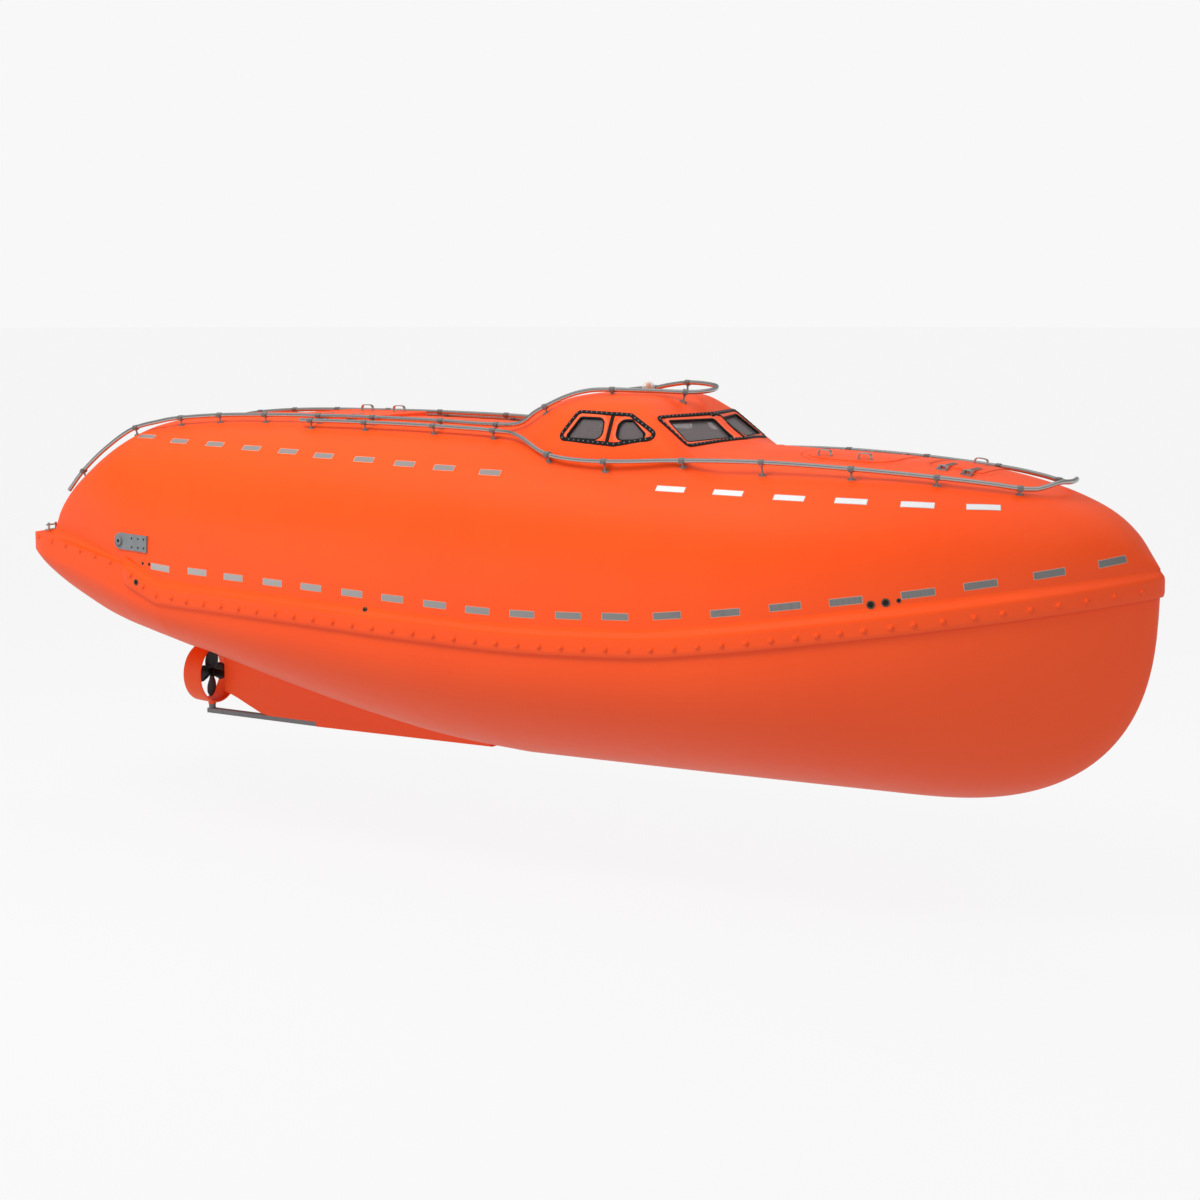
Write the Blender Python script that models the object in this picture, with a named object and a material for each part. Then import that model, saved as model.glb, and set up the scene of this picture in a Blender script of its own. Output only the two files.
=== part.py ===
"""Enclosed lifeboat, 13.5 m long, at real size.

X points to the bow, Y to port and Z up, in metres. Heights in the functions below are
measured above the keel; the last step lowers everything by DRAFT, so that the origin
of the finished model is amidships on the waterline.
"""

import math

import bmesh
import bpy
from mathutils import Matrix, Vector
from mathutils.bvhtree import BVHTree

# Driving dimensions of the boat.
LENGTH = 13.5
BEAM = 3.57
DRAFT = 0.95
GAP = 0.0003

# Fender band round the joint between hull and canopy.
FENDER_DEPTH = 0.064
FENDER_HEIGHT = 0.21
FENDER_AFT_END = -5.0
WALL = 0.06

HALF_BEAM = BEAM / 2 - FENDER_DEPTH
BOW_X = LENGTH / 2 - 0.05
STERN_X = -LENGTH / 2
FULL_BEAM_AFT = -2.0
FULL_BEAM_FORE = 2.0

# Height of the joint between hull and canopy along the boat.
SEAM_HEIGHTS = [(-6.75, 2.15), (-5.98, 2.067), (-5.2, 1.93), (-5.0, 1.89), (-4.45, 1.685),
                (-3.7, 1.665), (-2.5, 1.625), (-1.0, 1.555), (0.3, 1.52), (1.8, 1.567),
                (2.75, 1.68), (3.7, 1.825), (5.8, 2.16), (6.75, 2.32)]

# Centreline of the hull bottom, aft of the straight keel.
STERN_KEEL = [(-6.75, 2.0), (-6.66, 1.74), (-6.5, 1.5), (-6.2, 1.28), (-5.6, 1.03), (-5.0, 0.93),
              (-4.3, 0.80), (-3.2, 0.50), (-2.0, 0.22), (-1.0, 0.06), (-0.2, 0.0)]
FOREFOOT_X = 4.1
FOREFOOT_HEIGHT = 2.2
FOREFOOT_POWER = 2.62

# Crown of the canopy along the boat.
STERN_DECK_HEIGHT = 2.27
STERN_DECK_END = -6.54
ROOF_HEIGHTS = [(-6.75, 2.27), (-6.54, 2.27), (-6.5, 2.42), (-6.41, 2.66), (-6.25, 2.86),
                (-5.98, 3.10), (-5.7, 3.32), (-5.45, 3.48), (-5.2, 3.59), (-4.8, 3.665),
                (-3.8, 3.71), (-2.0, 3.71), (0.0, 3.66), (2.4, 3.53), (3.6, 3.475), (4.5, 3.43),
                (5.1, 3.34), (5.6, 3.225), (6.0, 3.085), (6.22, 2.97), (6.43, 2.80),
                (6.6, 2.59), (6.75, 2.42)]


def polyline(points, x):
    """Straight-line interpolation, kept inside the first and last point."""
    if x <= points[0][0]:
        return points[0][1]
    for (x0, y0), (x1, y1) in zip(points, points[1:]):
        if x <= x1:
            return y0 + (y1 - y0) * (x - x0) / (x1 - x0)
    return points[-1][1]


def smooth_line(points, x):
    """Monotone cubic through the points, so that the curve never overshoots them."""
    if x <= points[0][0]:
        return points[0][1]
    if x >= points[-1][0]:
        return points[-1][1]
    steps = [(b[1] - a[1]) / (b[0] - a[0]) for a, b in zip(points, points[1:])]
    slopes = [steps[0]]
    for before, after in zip(steps, steps[1:]):
        together = before * after
        slopes.append(2 * together / (before + after) if together > 0 else 0.0)
    slopes.append(steps[-1])
    for i, (a, b) in enumerate(zip(points, points[1:])):
        if x <= b[0]:
            run = b[0] - a[0]
            t = (x - a[0]) / run
            return ((1 + 2 * t) * (1 - t) ** 2 * a[1] + t * t * (3 - 2 * t) * b[1]
                    + run * t * (1 - t) * ((1 - t) * slopes[i] - t * slopes[i + 1]))
    return points[-1][1]


def half_breadth(x):
    """Half-breadth of hull and canopy where they meet."""
    if x >= FULL_BEAM_FORE:
        t = min(1.0, (x - FULL_BEAM_FORE) / (BOW_X - FULL_BEAM_FORE))
        return HALF_BEAM * (1 - t ** 2.6) ** 0.75
    if x > FULL_BEAM_AFT:
        return HALF_BEAM
    breadth = HALF_BEAM * math.sqrt(1 - ((FULL_BEAM_AFT - x) / 6.5) ** 2)
    corner = max(0.0, (-6.4 - x) / 0.35)
    return breadth - 0.06 * corner ** 3


def seam_height(x):
    return polyline(SEAM_HEIGHTS, x) if x < -4.0 else smooth_line(SEAM_HEIGHTS, x)


def keel_height(x):
    if x < FOREFOOT_X:
        return smooth_line(STERN_KEEL, x)
    t = min(1.0, (x - FOREFOOT_X) / (BOW_X - 0.01 - FOREFOOT_X))
    return FOREFOOT_HEIGHT * (1 - (1 - t ** FOREFOOT_POWER) ** (1 / FOREFOOT_POWER))


def roof_height(x):
    return smooth_line(ROOF_HEIGHTS, x)


def stations(first, last):
    """Positions along the boat for the ribs, closer together towards the ends."""
    aft = [-6.75, -6.7, -6.62, -6.54, -6.5, -6.41, -6.3, -6.15, -5.98, -5.75, -5.45, -5.2, -5.0,
           -4.75, -4.45, -4.0, -3.5, -3.0, -2.4, -1.7, -1.0, -0.4, 0.3, 1.0, 1.6]
    fore = [FULL_BEAM_FORE + (BOW_X - FULL_BEAM_FORE) * math.sin(math.radians(angle))
            for angle in range(0, 88, 8)] + [BOW_X - 0.004]
    return [x for x in aft + fore if first - 1e-6 <= x <= last + 1e-6]


def superellipse(breadth, height, power, count, start=0.0):
    """Points of a quarter superellipse, from the side to the crown."""
    points = []
    for i in range(count + 1):
        angle = start + (math.pi / 2 - start) * i / count
        across = max(0.0, math.cos(angle)) ** (2 / power)
        up = max(0.0, math.sin(angle)) ** (2 / power)
        points.append((breadth * across, height * up))
    points[-1] = (0.0, height)
    return points


def hull_rib(x, wall=0.0):
    """Half section of the hull: (half-breadth, height) from the seam down to the keel."""
    breadth = max(0.004, half_breadth(x) - wall)
    top = seam_height(x)
    side = 0.105 + 0.085 * max(0.0, 1 - abs(x + 5.0) / 0.6)
    keel = keel_height(x) + wall
    knuckle = max(keel + 0.02, top - side)
    power = 2.25 - 0.35 * max(0.0, min(1.0, (x - 3.5) / 3.0)) - 0.25 * max(0.0, min(1.0, (-x - 4.5) / 2))
    depth = knuckle - keel
    curve = superellipse(breadth, depth, power, 11)
    vee = 0.17
    rib = [(breadth, top)]
    for y, drop in curve:
        rib.append((y, knuckle - (1 - vee) * drop - vee * depth * (1 - y / breadth)))
    return rib


def canopy_inset(x):
    """How far the canopy side stands inside the seam, towards the stern only."""
    return 0.02 + 0.2 * max(0.0, min(1.0, (-4.6 - x) / 1.9)) ** 1.5


def canopy_rib(x, wall=0.0):
    """Half section of the canopy: (half-breadth, height) from the seam up to the crown."""
    rim = max(0.004, half_breadth(x) - wall)
    seam = seam_height(x)
    rim_top = seam + 0.105 - 0.005 * (x < -5)
    side = max(0.003, min(rim - 0.001, half_breadth(x) - canopy_inset(x) - wall))
    crown = max(rim_top + 0.012, roof_height(x) - wall)
    shoulder = rim_top + 0.006
    power = 2.6 + 2.0 * max(0.0, min(1.0, (-5.0 - x) / 1.2))
    curve = superellipse(side, crown - shoulder, power, 13)
    return [(rim, seam), (rim, rim_top)] + [(y, shoulder + up) for y, up in curve]


def loft(name, ribs, close_side):
    """Closed solid from half ribs at stations: mirrored, capped and closed between its edges."""
    mesh = bmesh.new()
    rings = []
    for x, rib in ribs:
        starboard = [mesh.verts.new((x, -y, z)) for y, z in rib]
        port = [mesh.verts.new((x, y, z)) for y, z in reversed(rib[:-1])]
        rings.append(starboard + port)
    for one, other in zip(rings, rings[1:]):
        count = len(one)
        for i in range(count if close_side else count - 1):
            j = (i + 1) % count
            mesh.faces.new((one[i], one[j], other[j], other[i]))
    if close_side:
        mesh.faces.new(rings[0])
        mesh.faces.new(list(reversed(rings[-1])))
    bmesh.ops.recalc_face_normals(mesh, faces=mesh.faces)
    bmesh.ops.triangulate(mesh, faces=mesh.faces, quad_method='FIXED')
    return finish(name, mesh)


def finish(name, mesh, smooth=True):
    """Turns a bmesh into an object in the scene."""
    data = bpy.data.meshes.new(name)
    bmesh.ops.triangulate(mesh, faces=[f for f in mesh.faces if len(f.verts) > 4])
    mesh.to_mesh(data)
    mesh.free()
    if smooth:
        data.shade_smooth()
        data.set_sharp_from_angle(angle=math.radians(35))
    thing = bpy.data.objects.new(name, data)
    bpy.context.scene.collection.objects.link(thing)
    return thing


def cutter(thing):
    thing.hide_render = True
    thing.display_type = 'WIRE'
    return thing


def combine(thing, tool, operation):
    """Adds a live Boolean of thing with tool."""
    change = thing.modifiers.new(operation.lower() + '_' + tool.name, 'BOOLEAN')
    change.operation = operation
    change.solver = 'EXACT'
    change.object = cutter(tool)


def box(name, low, high, matrix=None):
    mesh = bmesh.new()
    bmesh.ops.create_cube(mesh, size=1.0)
    low, high = Vector(low), Vector(high)
    size = high - low
    bmesh.ops.scale(mesh, vec=size, verts=mesh.verts)
    bmesh.ops.translate(mesh, vec=(low + high) / 2, verts=mesh.verts)
    if matrix is not None:
        bmesh.ops.transform(mesh, matrix=matrix, verts=mesh.verts)
    return finish(name, mesh, smooth=False)


def prism(name, outline, bottom, top, matrix=None):
    """Outline in its own XY plane, extruded from bottom to top."""
    mesh = bmesh.new()
    lower = [mesh.verts.new((x, y, bottom)) for x, y in outline]
    upper = [mesh.verts.new((x, y, top)) for x, y in outline]
    mesh.faces.new(list(reversed(lower)))
    mesh.faces.new(upper)
    for i in range(len(outline)):
        j = (i + 1) % len(outline)
        mesh.faces.new((lower[i], lower[j], upper[j], upper[i]))
    if matrix is not None:
        bmesh.ops.transform(mesh, matrix=matrix, verts=mesh.verts)
    bmesh.ops.recalc_face_normals(mesh, faces=mesh.faces)
    return finish(name, mesh, smooth=False)


def frame_ring(name, outline, inner, bottom, top, matrix=None):
    """Flat ring between two outlines with the same number of points."""
    mesh = bmesh.new()
    loops = [[mesh.verts.new((x, y, z)) for x, y in line]
             for line, z in ((outline, bottom), (outline, top), (inner, top), (inner, bottom))]
    for one, other in zip(loops, loops[1:] + loops[:1]):
        for i in range(len(one)):
            j = (i + 1) % len(one)
            mesh.faces.new((one[i], one[j], other[j], other[i]))
    if matrix is not None:
        bmesh.ops.transform(mesh, matrix=matrix, verts=mesh.verts)
    bmesh.ops.recalc_face_normals(mesh, faces=mesh.faces)
    return finish(name, mesh, smooth=False)


def rounded_outline(corners, radius, steps=3):
    """Outline through the corners with each one rounded."""
    points = []
    count = len(corners)
    for i, corner in enumerate(corners):
        corner = Vector(corner)
        before = (Vector(corners[i - 1]) - corner).normalized()
        after = (Vector(corners[(i + 1) % count]) - corner).normalized()
        half = before.angle(after) / 2
        reach = radius / math.tan(half)
        centre = corner + (before + after).normalized() * (radius / math.sin(half))
        start = corner + before * reach - centre
        end = corner + after * reach - centre
        turn = start.angle_signed(end)
        for k in range(steps + 1):
            spin = Matrix.Rotation(-turn * k / steps, 2)
            points.append(tuple(centre + spin @ start))
    return points


def cylinder(name, start, end, radius, sides=16):
    start, end = Vector(start), Vector(end)
    mesh = bmesh.new()
    bmesh.ops.create_cone(mesh, cap_ends=True, segments=sides, radius1=radius, radius2=radius,
                          depth=(end - start).length)
    turn = (end - start).to_track_quat('Z', 'Y').to_matrix().to_4x4()
    bmesh.ops.transform(mesh, matrix=Matrix.Translation((start + end) / 2) @ turn, verts=mesh.verts)
    return finish(name, mesh)


def tube(name, points, radius, sides=8, cyclic=False):
    """Round bar swept along points, with flat ends."""
    points = [Vector(p) for p in points]
    mesh = bmesh.new()
    rings = []
    side = None
    for i, point in enumerate(points):
        before = points[i - 1] if (i or cyclic) else point
        after = points[(i + 1) % len(points)] if (i + 1 < len(points) or cyclic) else point
        along = (after - before).normalized()
        if side is None:
            side = along.cross(Vector((0, 0, 1))).normalized()
        side = (side - along * side.dot(along)).normalized()
        up = side.cross(along)
        rings.append([mesh.verts.new(point + radius * (side * math.cos(a) + up * math.sin(a)))
                      for a in (2 * math.pi * k / sides for k in range(sides))])
    pairs = list(zip(rings, rings[1:])) + ([(rings[-1], rings[0])] if cyclic else [])
    for one, other in pairs:
        for k in range(sides):
            m = (k + 1) % sides
            mesh.faces.new((one[k], one[m], other[m], other[k]))
    if not cyclic:
        mesh.faces.new(rings[0])
        mesh.faces.new(list(reversed(rings[-1])))
    bmesh.ops.recalc_face_normals(mesh, faces=mesh.faces)
    return finish(name, mesh)


def smooth_path(points, spacing=0.16):
    """Points at even spacing along a Catmull-Rom curve through the given ones."""
    points = [Vector(p) for p in points]
    ends = [points[0] * 2 - points[1]] + points + [points[-1] * 2 - points[-2]]
    path = []
    for a, b, c, d in zip(ends, ends[1:], ends[2:], ends[3:]):
        parts = max(1, round((c - b).length / spacing))
        for k in range(parts):
            t = k / parts
            path.append(0.5 * (2 * b + (c - a) * t + (2 * a - 5 * b + 4 * c - d) * t * t
                               + (3 * b - a - 3 * c + d) * t ** 3))
    return path + [points[-1]]


def paint(thing, finish_name):
    thing.data.materials.clear()
    thing.data.materials.append(bpy.data.materials[finish_name])
    return thing


def make_finishes():
    """One Principled material for each finish: colour, roughness, metallic."""
    finishes = {
        'orange_gelcoat': ((0.93, 0.10, 0.012), 0.38, 0.0),
        'stainless_steel': ((0.62, 0.61, 0.60), 0.28, 1.0),
        'painted_grey_steel': ((0.22, 0.22, 0.22), 0.5, 0.3),
        'black_rubber': ((0.02, 0.02, 0.02), 0.6, 0.0),
        'clear_acrylic': ((0.75, 0.8, 0.8), 0.05, 0.0),
        'grey_interior': ((0.32, 0.32, 0.33), 0.7, 0.0),
        'black_bronze': ((0.03, 0.03, 0.03), 0.35, 0.6),
    }
    for name, (colour, roughness, metallic) in finishes.items():
        material = bpy.data.materials.new(name)
        material.use_nodes = True
        shader = material.node_tree.nodes['Principled BSDF']
        shader.inputs['Base Color'].default_value = (*colour, 1.0)
        shader.inputs['Roughness'].default_value = roughness
        shader.inputs['Metallic'].default_value = metallic
        material.diffuse_color = (*colour, 1.0)


def clear_scene():
    for thing in list(bpy.data.objects):
        bpy.data.objects.remove(thing)


# Hull, deck and skeg.
DECK_HEIGHT = 1.1
DECK_THICKNESS = 0.05


def make_hull():
    """Open hull moulding with its inner deck laminated in."""
    outer = [(x, hull_rib(x)) for x in stations(STERN_X, BOW_X)]
    hull = loft('lower_hull', outer, close_side=True)
    inner = []
    for x in stations(-6.55, 6.5):
        rib = hull_rib(x, WALL)
        inner.append((x, [(rib[0][0], rib[0][1] + 0.4)] + rib))
    combine(hull, loft('hull_inside', inner, close_side=True), 'DIFFERENCE')
    return paint(hull, 'orange_gelcoat')


def skeg_profile():
    """Side outline of the skeg: aft edge, sloping heel, keel line, then back under the hull."""
    top = [(x, keel_height(x) - GAP) for x in stations(-4.75, -0.4)]
    return [(-4.75, 0.315), (-4.56, 0.244), (-4.19, 0.082), (-4.08, 0.0640), (-3.3803, 0.0557),
            (-3.3797, 0.0), (-0.9, 0.0)] + list(reversed(top[:-1]))


def make_skeg():
    upright = Matrix.Rotation(math.radians(90), 4, 'X')
    outline = skeg_profile()
    skeg = prism('skeg', outline, -0.055, 0.055, upright)
    return paint(skeg, 'orange_gelcoat')


def make_sole_bar():
    """Bar under the skeg heel that carries the lower pivot of the nozzle."""
    upright = Matrix.Rotation(math.radians(90), 4, 'X')
    outline = [(-5.04, 0.02), (-5.04, 0.0750), (-3.3803, 0.0553), (-3.3803, 0.0)]
    bar = prism('sole_bar', outline, -0.045, 0.045, upright)
    post = cylinder('sole_bar_pintle', (-4.995, 0, 0.05), (-4.995, 0, 0.128), 0.042)
    combine(bar, post, 'UNION')
    return paint(bar, 'painted_grey_steel')


# Propeller and steering nozzle.
SHAFT_HEIGHT = 0.517
PROPELLER_X = -4.995
PROPELLER_RADIUS = 0.30
NOZZLE_RADIUS = 0.363
NOZZLE_LENGTH = 0.24


def make_propeller():
    hub = cylinder('propeller', (-0.075, 0, 0), (0.075, 0, 0), 0.05, 16)
    blades = 4
    for b in range(blades):
        mesh = bmesh.new()
        rows = []
        for k in range(5):
            radius = 0.035 + (PROPELLER_RADIUS - 0.035) * k / 4
            chord = (0.07, 0.12, 0.155, 0.15, 0.07)[k]
            pitch = math.atan2(0.32, 2 * math.pi * max(radius, 0.08))
            thick = 0.016 - 0.0025 * k
            row = []
            for u, w in ((-0.5, 0), (-0.2, 0.5), (0.25, 0.5), (0.5, 0), (0.25, -0.5), (-0.2, -0.5)):
                along = u * chord
                across = w * thick
                x = along * math.sin(pitch) + across * math.cos(pitch)
                y = along * math.cos(pitch) - across * math.sin(pitch)
                row.append(mesh.verts.new((x, y, radius)))
            rows.append(row)
        for one, other in zip(rows, rows[1:]):
            for i in range(6):
                j = (i + 1) % 6
                mesh.faces.new((one[i], one[j], other[j], other[i]))
        mesh.faces.new(rows[0])
        mesh.faces.new(list(reversed(rows[-1])))
        bmesh.ops.rotate(mesh, verts=mesh.verts, matrix=Matrix.Rotation(math.tau * b / blades, 3, 'X'))
        bmesh.ops.recalc_face_normals(mesh, faces=mesh.faces)
        blade = finish('propeller_blade_%d' % b, mesh)
        blade.location = (PROPELLER_X, 0, SHAFT_HEIGHT)
        combine(hub, blade, 'UNION')
    hub.location = (PROPELLER_X, 0, SHAFT_HEIGHT)
    return paint(hub, 'black_bronze')


def make_shaft():
    shaft = cylinder('propeller_shaft', (-4.7497 - GAP * 2, 0, SHAFT_HEIGHT),
                     (PROPELLER_X + 0.075 + GAP, 0, SHAFT_HEIGHT), 0.04)
    return paint(shaft, 'stainless_steel')


def make_nozzle():
    """Ring of wing section that turns about the upright line through the propeller."""
    fore, aft = NOZZLE_LENGTH / 2, -NOZZLE_LENGTH / 2 - 0.03
    profile = [(fore, 0.352), (fore - 0.012, NOZZLE_RADIUS), (aft, NOZZLE_RADIUS - 0.012), (aft, 0.338),
               (0.0, 0.328), (fore - 0.01, 0.338)]
    mesh = bmesh.new()
    sides = 32
    rings = []
    for k in range(sides):
        angle = math.tau * k / sides
        rings.append([mesh.verts.new((x, r * math.sin(angle), r * math.cos(angle))) for x, r in profile])
    for one, other in zip(rings, rings[1:] + rings[:1]):
        for i in range(len(profile)):
            j = (i + 1) % len(profile)
            mesh.faces.new((one[i], one[j], other[j], other[i]))
    bmesh.ops.recalc_face_normals(mesh, faces=mesh.faces)
    ring = finish('steering_nozzle', mesh)
    stock_top = keel_height(PROPELLER_X + 0.035) - 0.002 - SHAFT_HEIGHT
    stock = cylinder('nozzle_stock', (0, 0, 0.345), (0, 0, stock_top), 0.035)
    heel = cylinder('nozzle_heel', (0, 0, -0.345), (0, 0, 0.128 + GAP - SHAFT_HEIGHT), 0.05)
    for part in (ring, stock, heel):
        part.location = (PROPELLER_X, 0, SHAFT_HEIGHT)
    combine(ring, stock, 'UNION')
    combine(ring, heel, 'UNION')
    return paint(ring, 'orange_gelcoat')


def offset_side(x, distance):
    """Point of the plan outline at x, moved outwards by distance."""
    step = 0.002
    ahead = min(x + step, BOW_X - 1e-4)
    behind = x - step
    along = Vector((ahead - behind, -(half_breadth(ahead) - half_breadth(behind)), 0)).normalized()
    outward = Vector((along.y, -along.x, 0))
    return Vector((x, -half_breadth(x), 0)) + outward * distance


def make_fender():
    """Rubber-edged band that covers the joint from the quarters round the bow."""
    section = [(GAP * 2, -0.5), (0.052, -0.5), (FENDER_DEPTH, -0.42), (FENDER_DEPTH, 0.36),
               (0.05, 0.47), (0.03, 0.5), (GAP * 2, 0.5)]
    places = stations(FENDER_AFT_END, BOW_X)
    mesh = bmesh.new()
    rows = []
    for x in places:
        rows.append([(offset_side(x, out), seam_height(x) + level * FENDER_HEIGHT) for out, level in section])
    starboard = [[mesh.verts.new((p.x, min(p.y, -0.0005), z)) for p, z in row] for row in rows]
    port = [[mesh.verts.new((p.x, -min(p.y, -0.0005), z)) for p, z in row] for row in reversed(rows)]
    rings = starboard + port
    for one, other in zip(rings, rings[1:]):
        for i in range(len(section)):
            j = (i + 1) % len(section)
            mesh.faces.new((one[i], one[j], other[j], other[i]))
    mesh.faces.new(rings[0])
    mesh.faces.new(list(reversed(rings[-1])))
    bmesh.ops.recalc_face_normals(mesh, faces=mesh.faces)
    return paint(finish('gunwale_fender', mesh), 'orange_gelcoat')


# Wheelhouse: outlines at rising heights, one half from the bow to the stern.
WHEELHOUSE_LEVELS = [
    (3.05, [(2.93, 0.0), (2.58, 0.96), (2.34, 1.03), (2.05, 1.10), (0.52, 1.13), (-0.05, 0.92),
            (-1.35, 0.48), (-1.35, 0.0)]),
    (3.50, [(2.33, 0.0), (2.088, 1.001), (2.0, 1.07), (1.90, 1.10), (0.50, 1.10), (-0.05, 0.87),
            (-0.62, 0.40), (-0.62, 0.0)]),
    (3.90, [(1.80, 0.0), (1.587, 0.88), (1.50, 0.897), (1.42, 0.90), (0.70, 0.90), (0.38, 0.70),
            (0.03, 0.33), (0.03, 0.0)]),
    (4.00, [(1.70, 0.0), (1.52, 0.66), (1.43, 0.72), (1.35, 0.74), (0.78, 0.74), (0.56, 0.56),
            (0.28, 0.28), (0.28, 0.0)]),
    (4.05, [(1.52, 0.0), (1.38, 0.42), (1.30, 0.49), (1.22, 0.51), (0.92, 0.51), (0.76, 0.40),
            (0.60, 0.2), (0.60, 0.0)]),
]
WHEELHOUSE_WALL = 0.045

# Window outlines in the plane of each wall: along the lower edge, then up the slope.
SIDE_FRAME = [(0.590, 0.097), (0.753, 0.422), (1.382, 0.400), (1.713, 0.159), (1.217, 0.050)]
SIDE_PANES = [[(0.669, 0.118), (0.797, 0.348), (1.060, 0.344), (1.080, 0.108)],
              [(1.262, 0.110), (1.262, 0.330), (1.411, 0.332), (1.590, 0.180), (1.52, 0.130)]]
SHIELD_FRAME = [(0.040, 0.105), (0.128, 0.587), (1.003, 0.565), (0.958, 0.079)]
SHIELD_PANE = [(0.17, 0.156), (0.19, 0.480), (0.898, 0.490), (0.903, 0.155)]
REAR_FRAME = [(-0.30, 0.385), (-0.27, 0.72), (0.27, 0.72), (0.30, 0.385)]
REAR_PANE = [(-0.235, 0.44), (-0.215, 0.665), (0.215, 0.665), (0.235, 0.44)]
FRAME_WIDTH = 0.032
PANE_THICKNESS = 0.008


def wheelhouse_solid(name, wall):
    """Closed wheelhouse moulding, or with a wall the space inside it."""
    mesh = bmesh.new()
    rings = []
    levels = list(WHEELHOUSE_LEVELS)
    if wall:
        levels = [(2.85, levels[0][1])] + levels
    for height, half in levels:
        length = half[0][0] - half[-1][0]
        centre = (half[0][0] + half[-1][0]) / 2
        shrink = 1 - 2.8 * wall / length
        half = [(centre + (x - centre) * shrink, max(0.0, y - 1.15 * wall)) for x, y in half]
        level = height - wall if height > 3.95 else height
        full = [(x, -y) for x, y in half] + [(x, y) for x, y in reversed(half[1:-1])]
        rings.append([mesh.verts.new((x, y, level)) for x, y in full])
    for one, other in zip(rings, rings[1:]):
        for i in range(len(one)):
            j = (i + 1) % len(one)
            mesh.faces.new((one[i], one[j], other[j], other[i]))
    mesh.faces.new(rings[0])
    mesh.faces.new(list(reversed(rings[-1])))
    bmesh.ops.recalc_face_normals(mesh, faces=mesh.faces)
    return finish(name, mesh)


def plane_frame(origin, along, up):
    """Matrix whose X runs along, Y up the wall and Z out of it."""
    along = Vector(along).normalized()
    out = along.cross(Vector(up)).normalized()
    rise = out.cross(along)
    turn = Matrix((along, rise, out)).transposed().to_4x4()
    return Matrix.Translation(Vector(origin)) @ turn


def window_planes():
    """Planes of the wheelhouse walls, by name: matrix, mirrored outlines or not."""
    side, rear_low, rear_high = 1.10, -0.62, 0.03
    return {
        'side_starboard': (plane_frame((0, -side, 3.5), (1, 0, 0), (0, 0.2, 0.4)), 1),
        'side_port': (plane_frame((0, side, 3.5), (-1, 0, 0), (0, -0.2, 0.4)), -1),
        'shield_starboard': (plane_frame((2.33, 0, 3.5), (0.242, 1.001, 0), (-0.53, 0, 0.4)), -1),
        'shield_port': (plane_frame((2.33, 0, 3.5), (-0.242, 1.001, 0), (-0.53, 0, 0.4)), 1),
        'rear': (plane_frame((rear_low, 0, 3.5), (0, -1, 0), (rear_high - rear_low, 0, 0.4)), 1),
    }


def mirrored(outline, way):
    return outline if way == 1 else [(-s, t) for s, t in reversed(outline)]


def inset_outline(outline, distance):
    """Outline moved inwards by distance along its own normals."""
    points = [Vector(p) for p in outline]
    area = sum(a.x * b.y - b.x * a.y for a, b in zip(points, points[1:] + points[:1]))
    way = 1 if area > 0 else -1
    moved = []
    for i, point in enumerate(points):
        before = (point - points[i - 1]).normalized()
        after = (points[(i + 1) % len(points)] - point).normalized()
        normals = [Vector((-d.y, d.x)) * way for d in (before, after)]
        middle = (normals[0] + normals[1]).normalized()
        moved.append(tuple(point + middle * (distance / middle.dot(normals[0]))))
    return moved


def make_windows(canopy):
    """Cuts the panes' openings and adds glass and rubber frames."""
    planes = window_planes()
    plan = {
        'side_starboard': (SIDE_FRAME, SIDE_PANES),
        'side_port': (SIDE_FRAME, SIDE_PANES),
        'shield_starboard': (SHIELD_FRAME, [SHIELD_PANE]),
        'shield_port': (SHIELD_FRAME, [SHIELD_PANE]),
        'rear': (REAR_FRAME, [REAR_PANE]),
    }
    for name, (frame, panes) in plan.items():
        matrix, way = planes[name]
        outer = rounded_outline(mirrored(frame, way), 0.045)
        inner = inset_outline(outer, FRAME_WIDTH)
        ring = frame_ring('window_frame_' + name, outer, inner, GAP, 0.014, matrix)
        if name.startswith('side'):
            bar = mirrored([(1.160, 0.060), (1.160, 0.404), (1.182, 0.404), (1.182, 0.060)], way)
            combine(ring, prism('mullion_' + name, bar, GAP, 0.011, matrix), 'UNION')
        paint(ring, 'black_rubber')
        for k, pane in enumerate(panes):
            outline = rounded_outline(mirrored(pane, way), 0.04)
            hole = prism('opening_%s_%d' % (name, k), outline, -0.2, 0.05, matrix)
            combine(canopy, hole, 'DIFFERENCE')
            label = 'window_glass_' + name + ('' if len(panes) == 1 else ('_aft', '_fore')[k])
            glass = prism(label, inset_outline(outline, GAP), -0.024 - PANE_THICKNESS, -0.024, matrix)
            paint(glass, 'clear_acrylic')


def canopy_outside(name, shift=(0, 0, 0)):
    """Solid of the canopy's outer surface, without the wheelhouse."""
    ribs = []
    for x in stations(STERN_X, BOW_X):
        rib = canopy_rib(x)
        rib[0] = (rib[0][0], rib[0][1] + GAP)
        ribs.append((x, rib))
    solid = loft(name, ribs, close_side=True)
    solid.data.transform(Matrix.Translation(Vector(shift)))
    return solid


def make_canopy():
    """Upper moulding: canopy with the wheelhouse, hollow."""
    canopy = canopy_outside('canopy')
    combine(canopy, wheelhouse_solid('wheelhouse_outside', 0.0), 'UNION')
    inner = []
    for x in stations(-6.3, 6.5):
        rib = canopy_rib(x, WALL)
        inner.append((x, [(rib[0][0], rib[0][1] - 0.4)] + rib))
    combine(canopy, loft('canopy_inside', inner, close_side=True), 'DIFFERENCE')
    combine(canopy, wheelhouse_solid('wheelhouse_inside', WHEELHOUSE_WALL), 'DIFFERENCE')
    return paint(canopy, 'orange_gelcoat')


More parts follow.
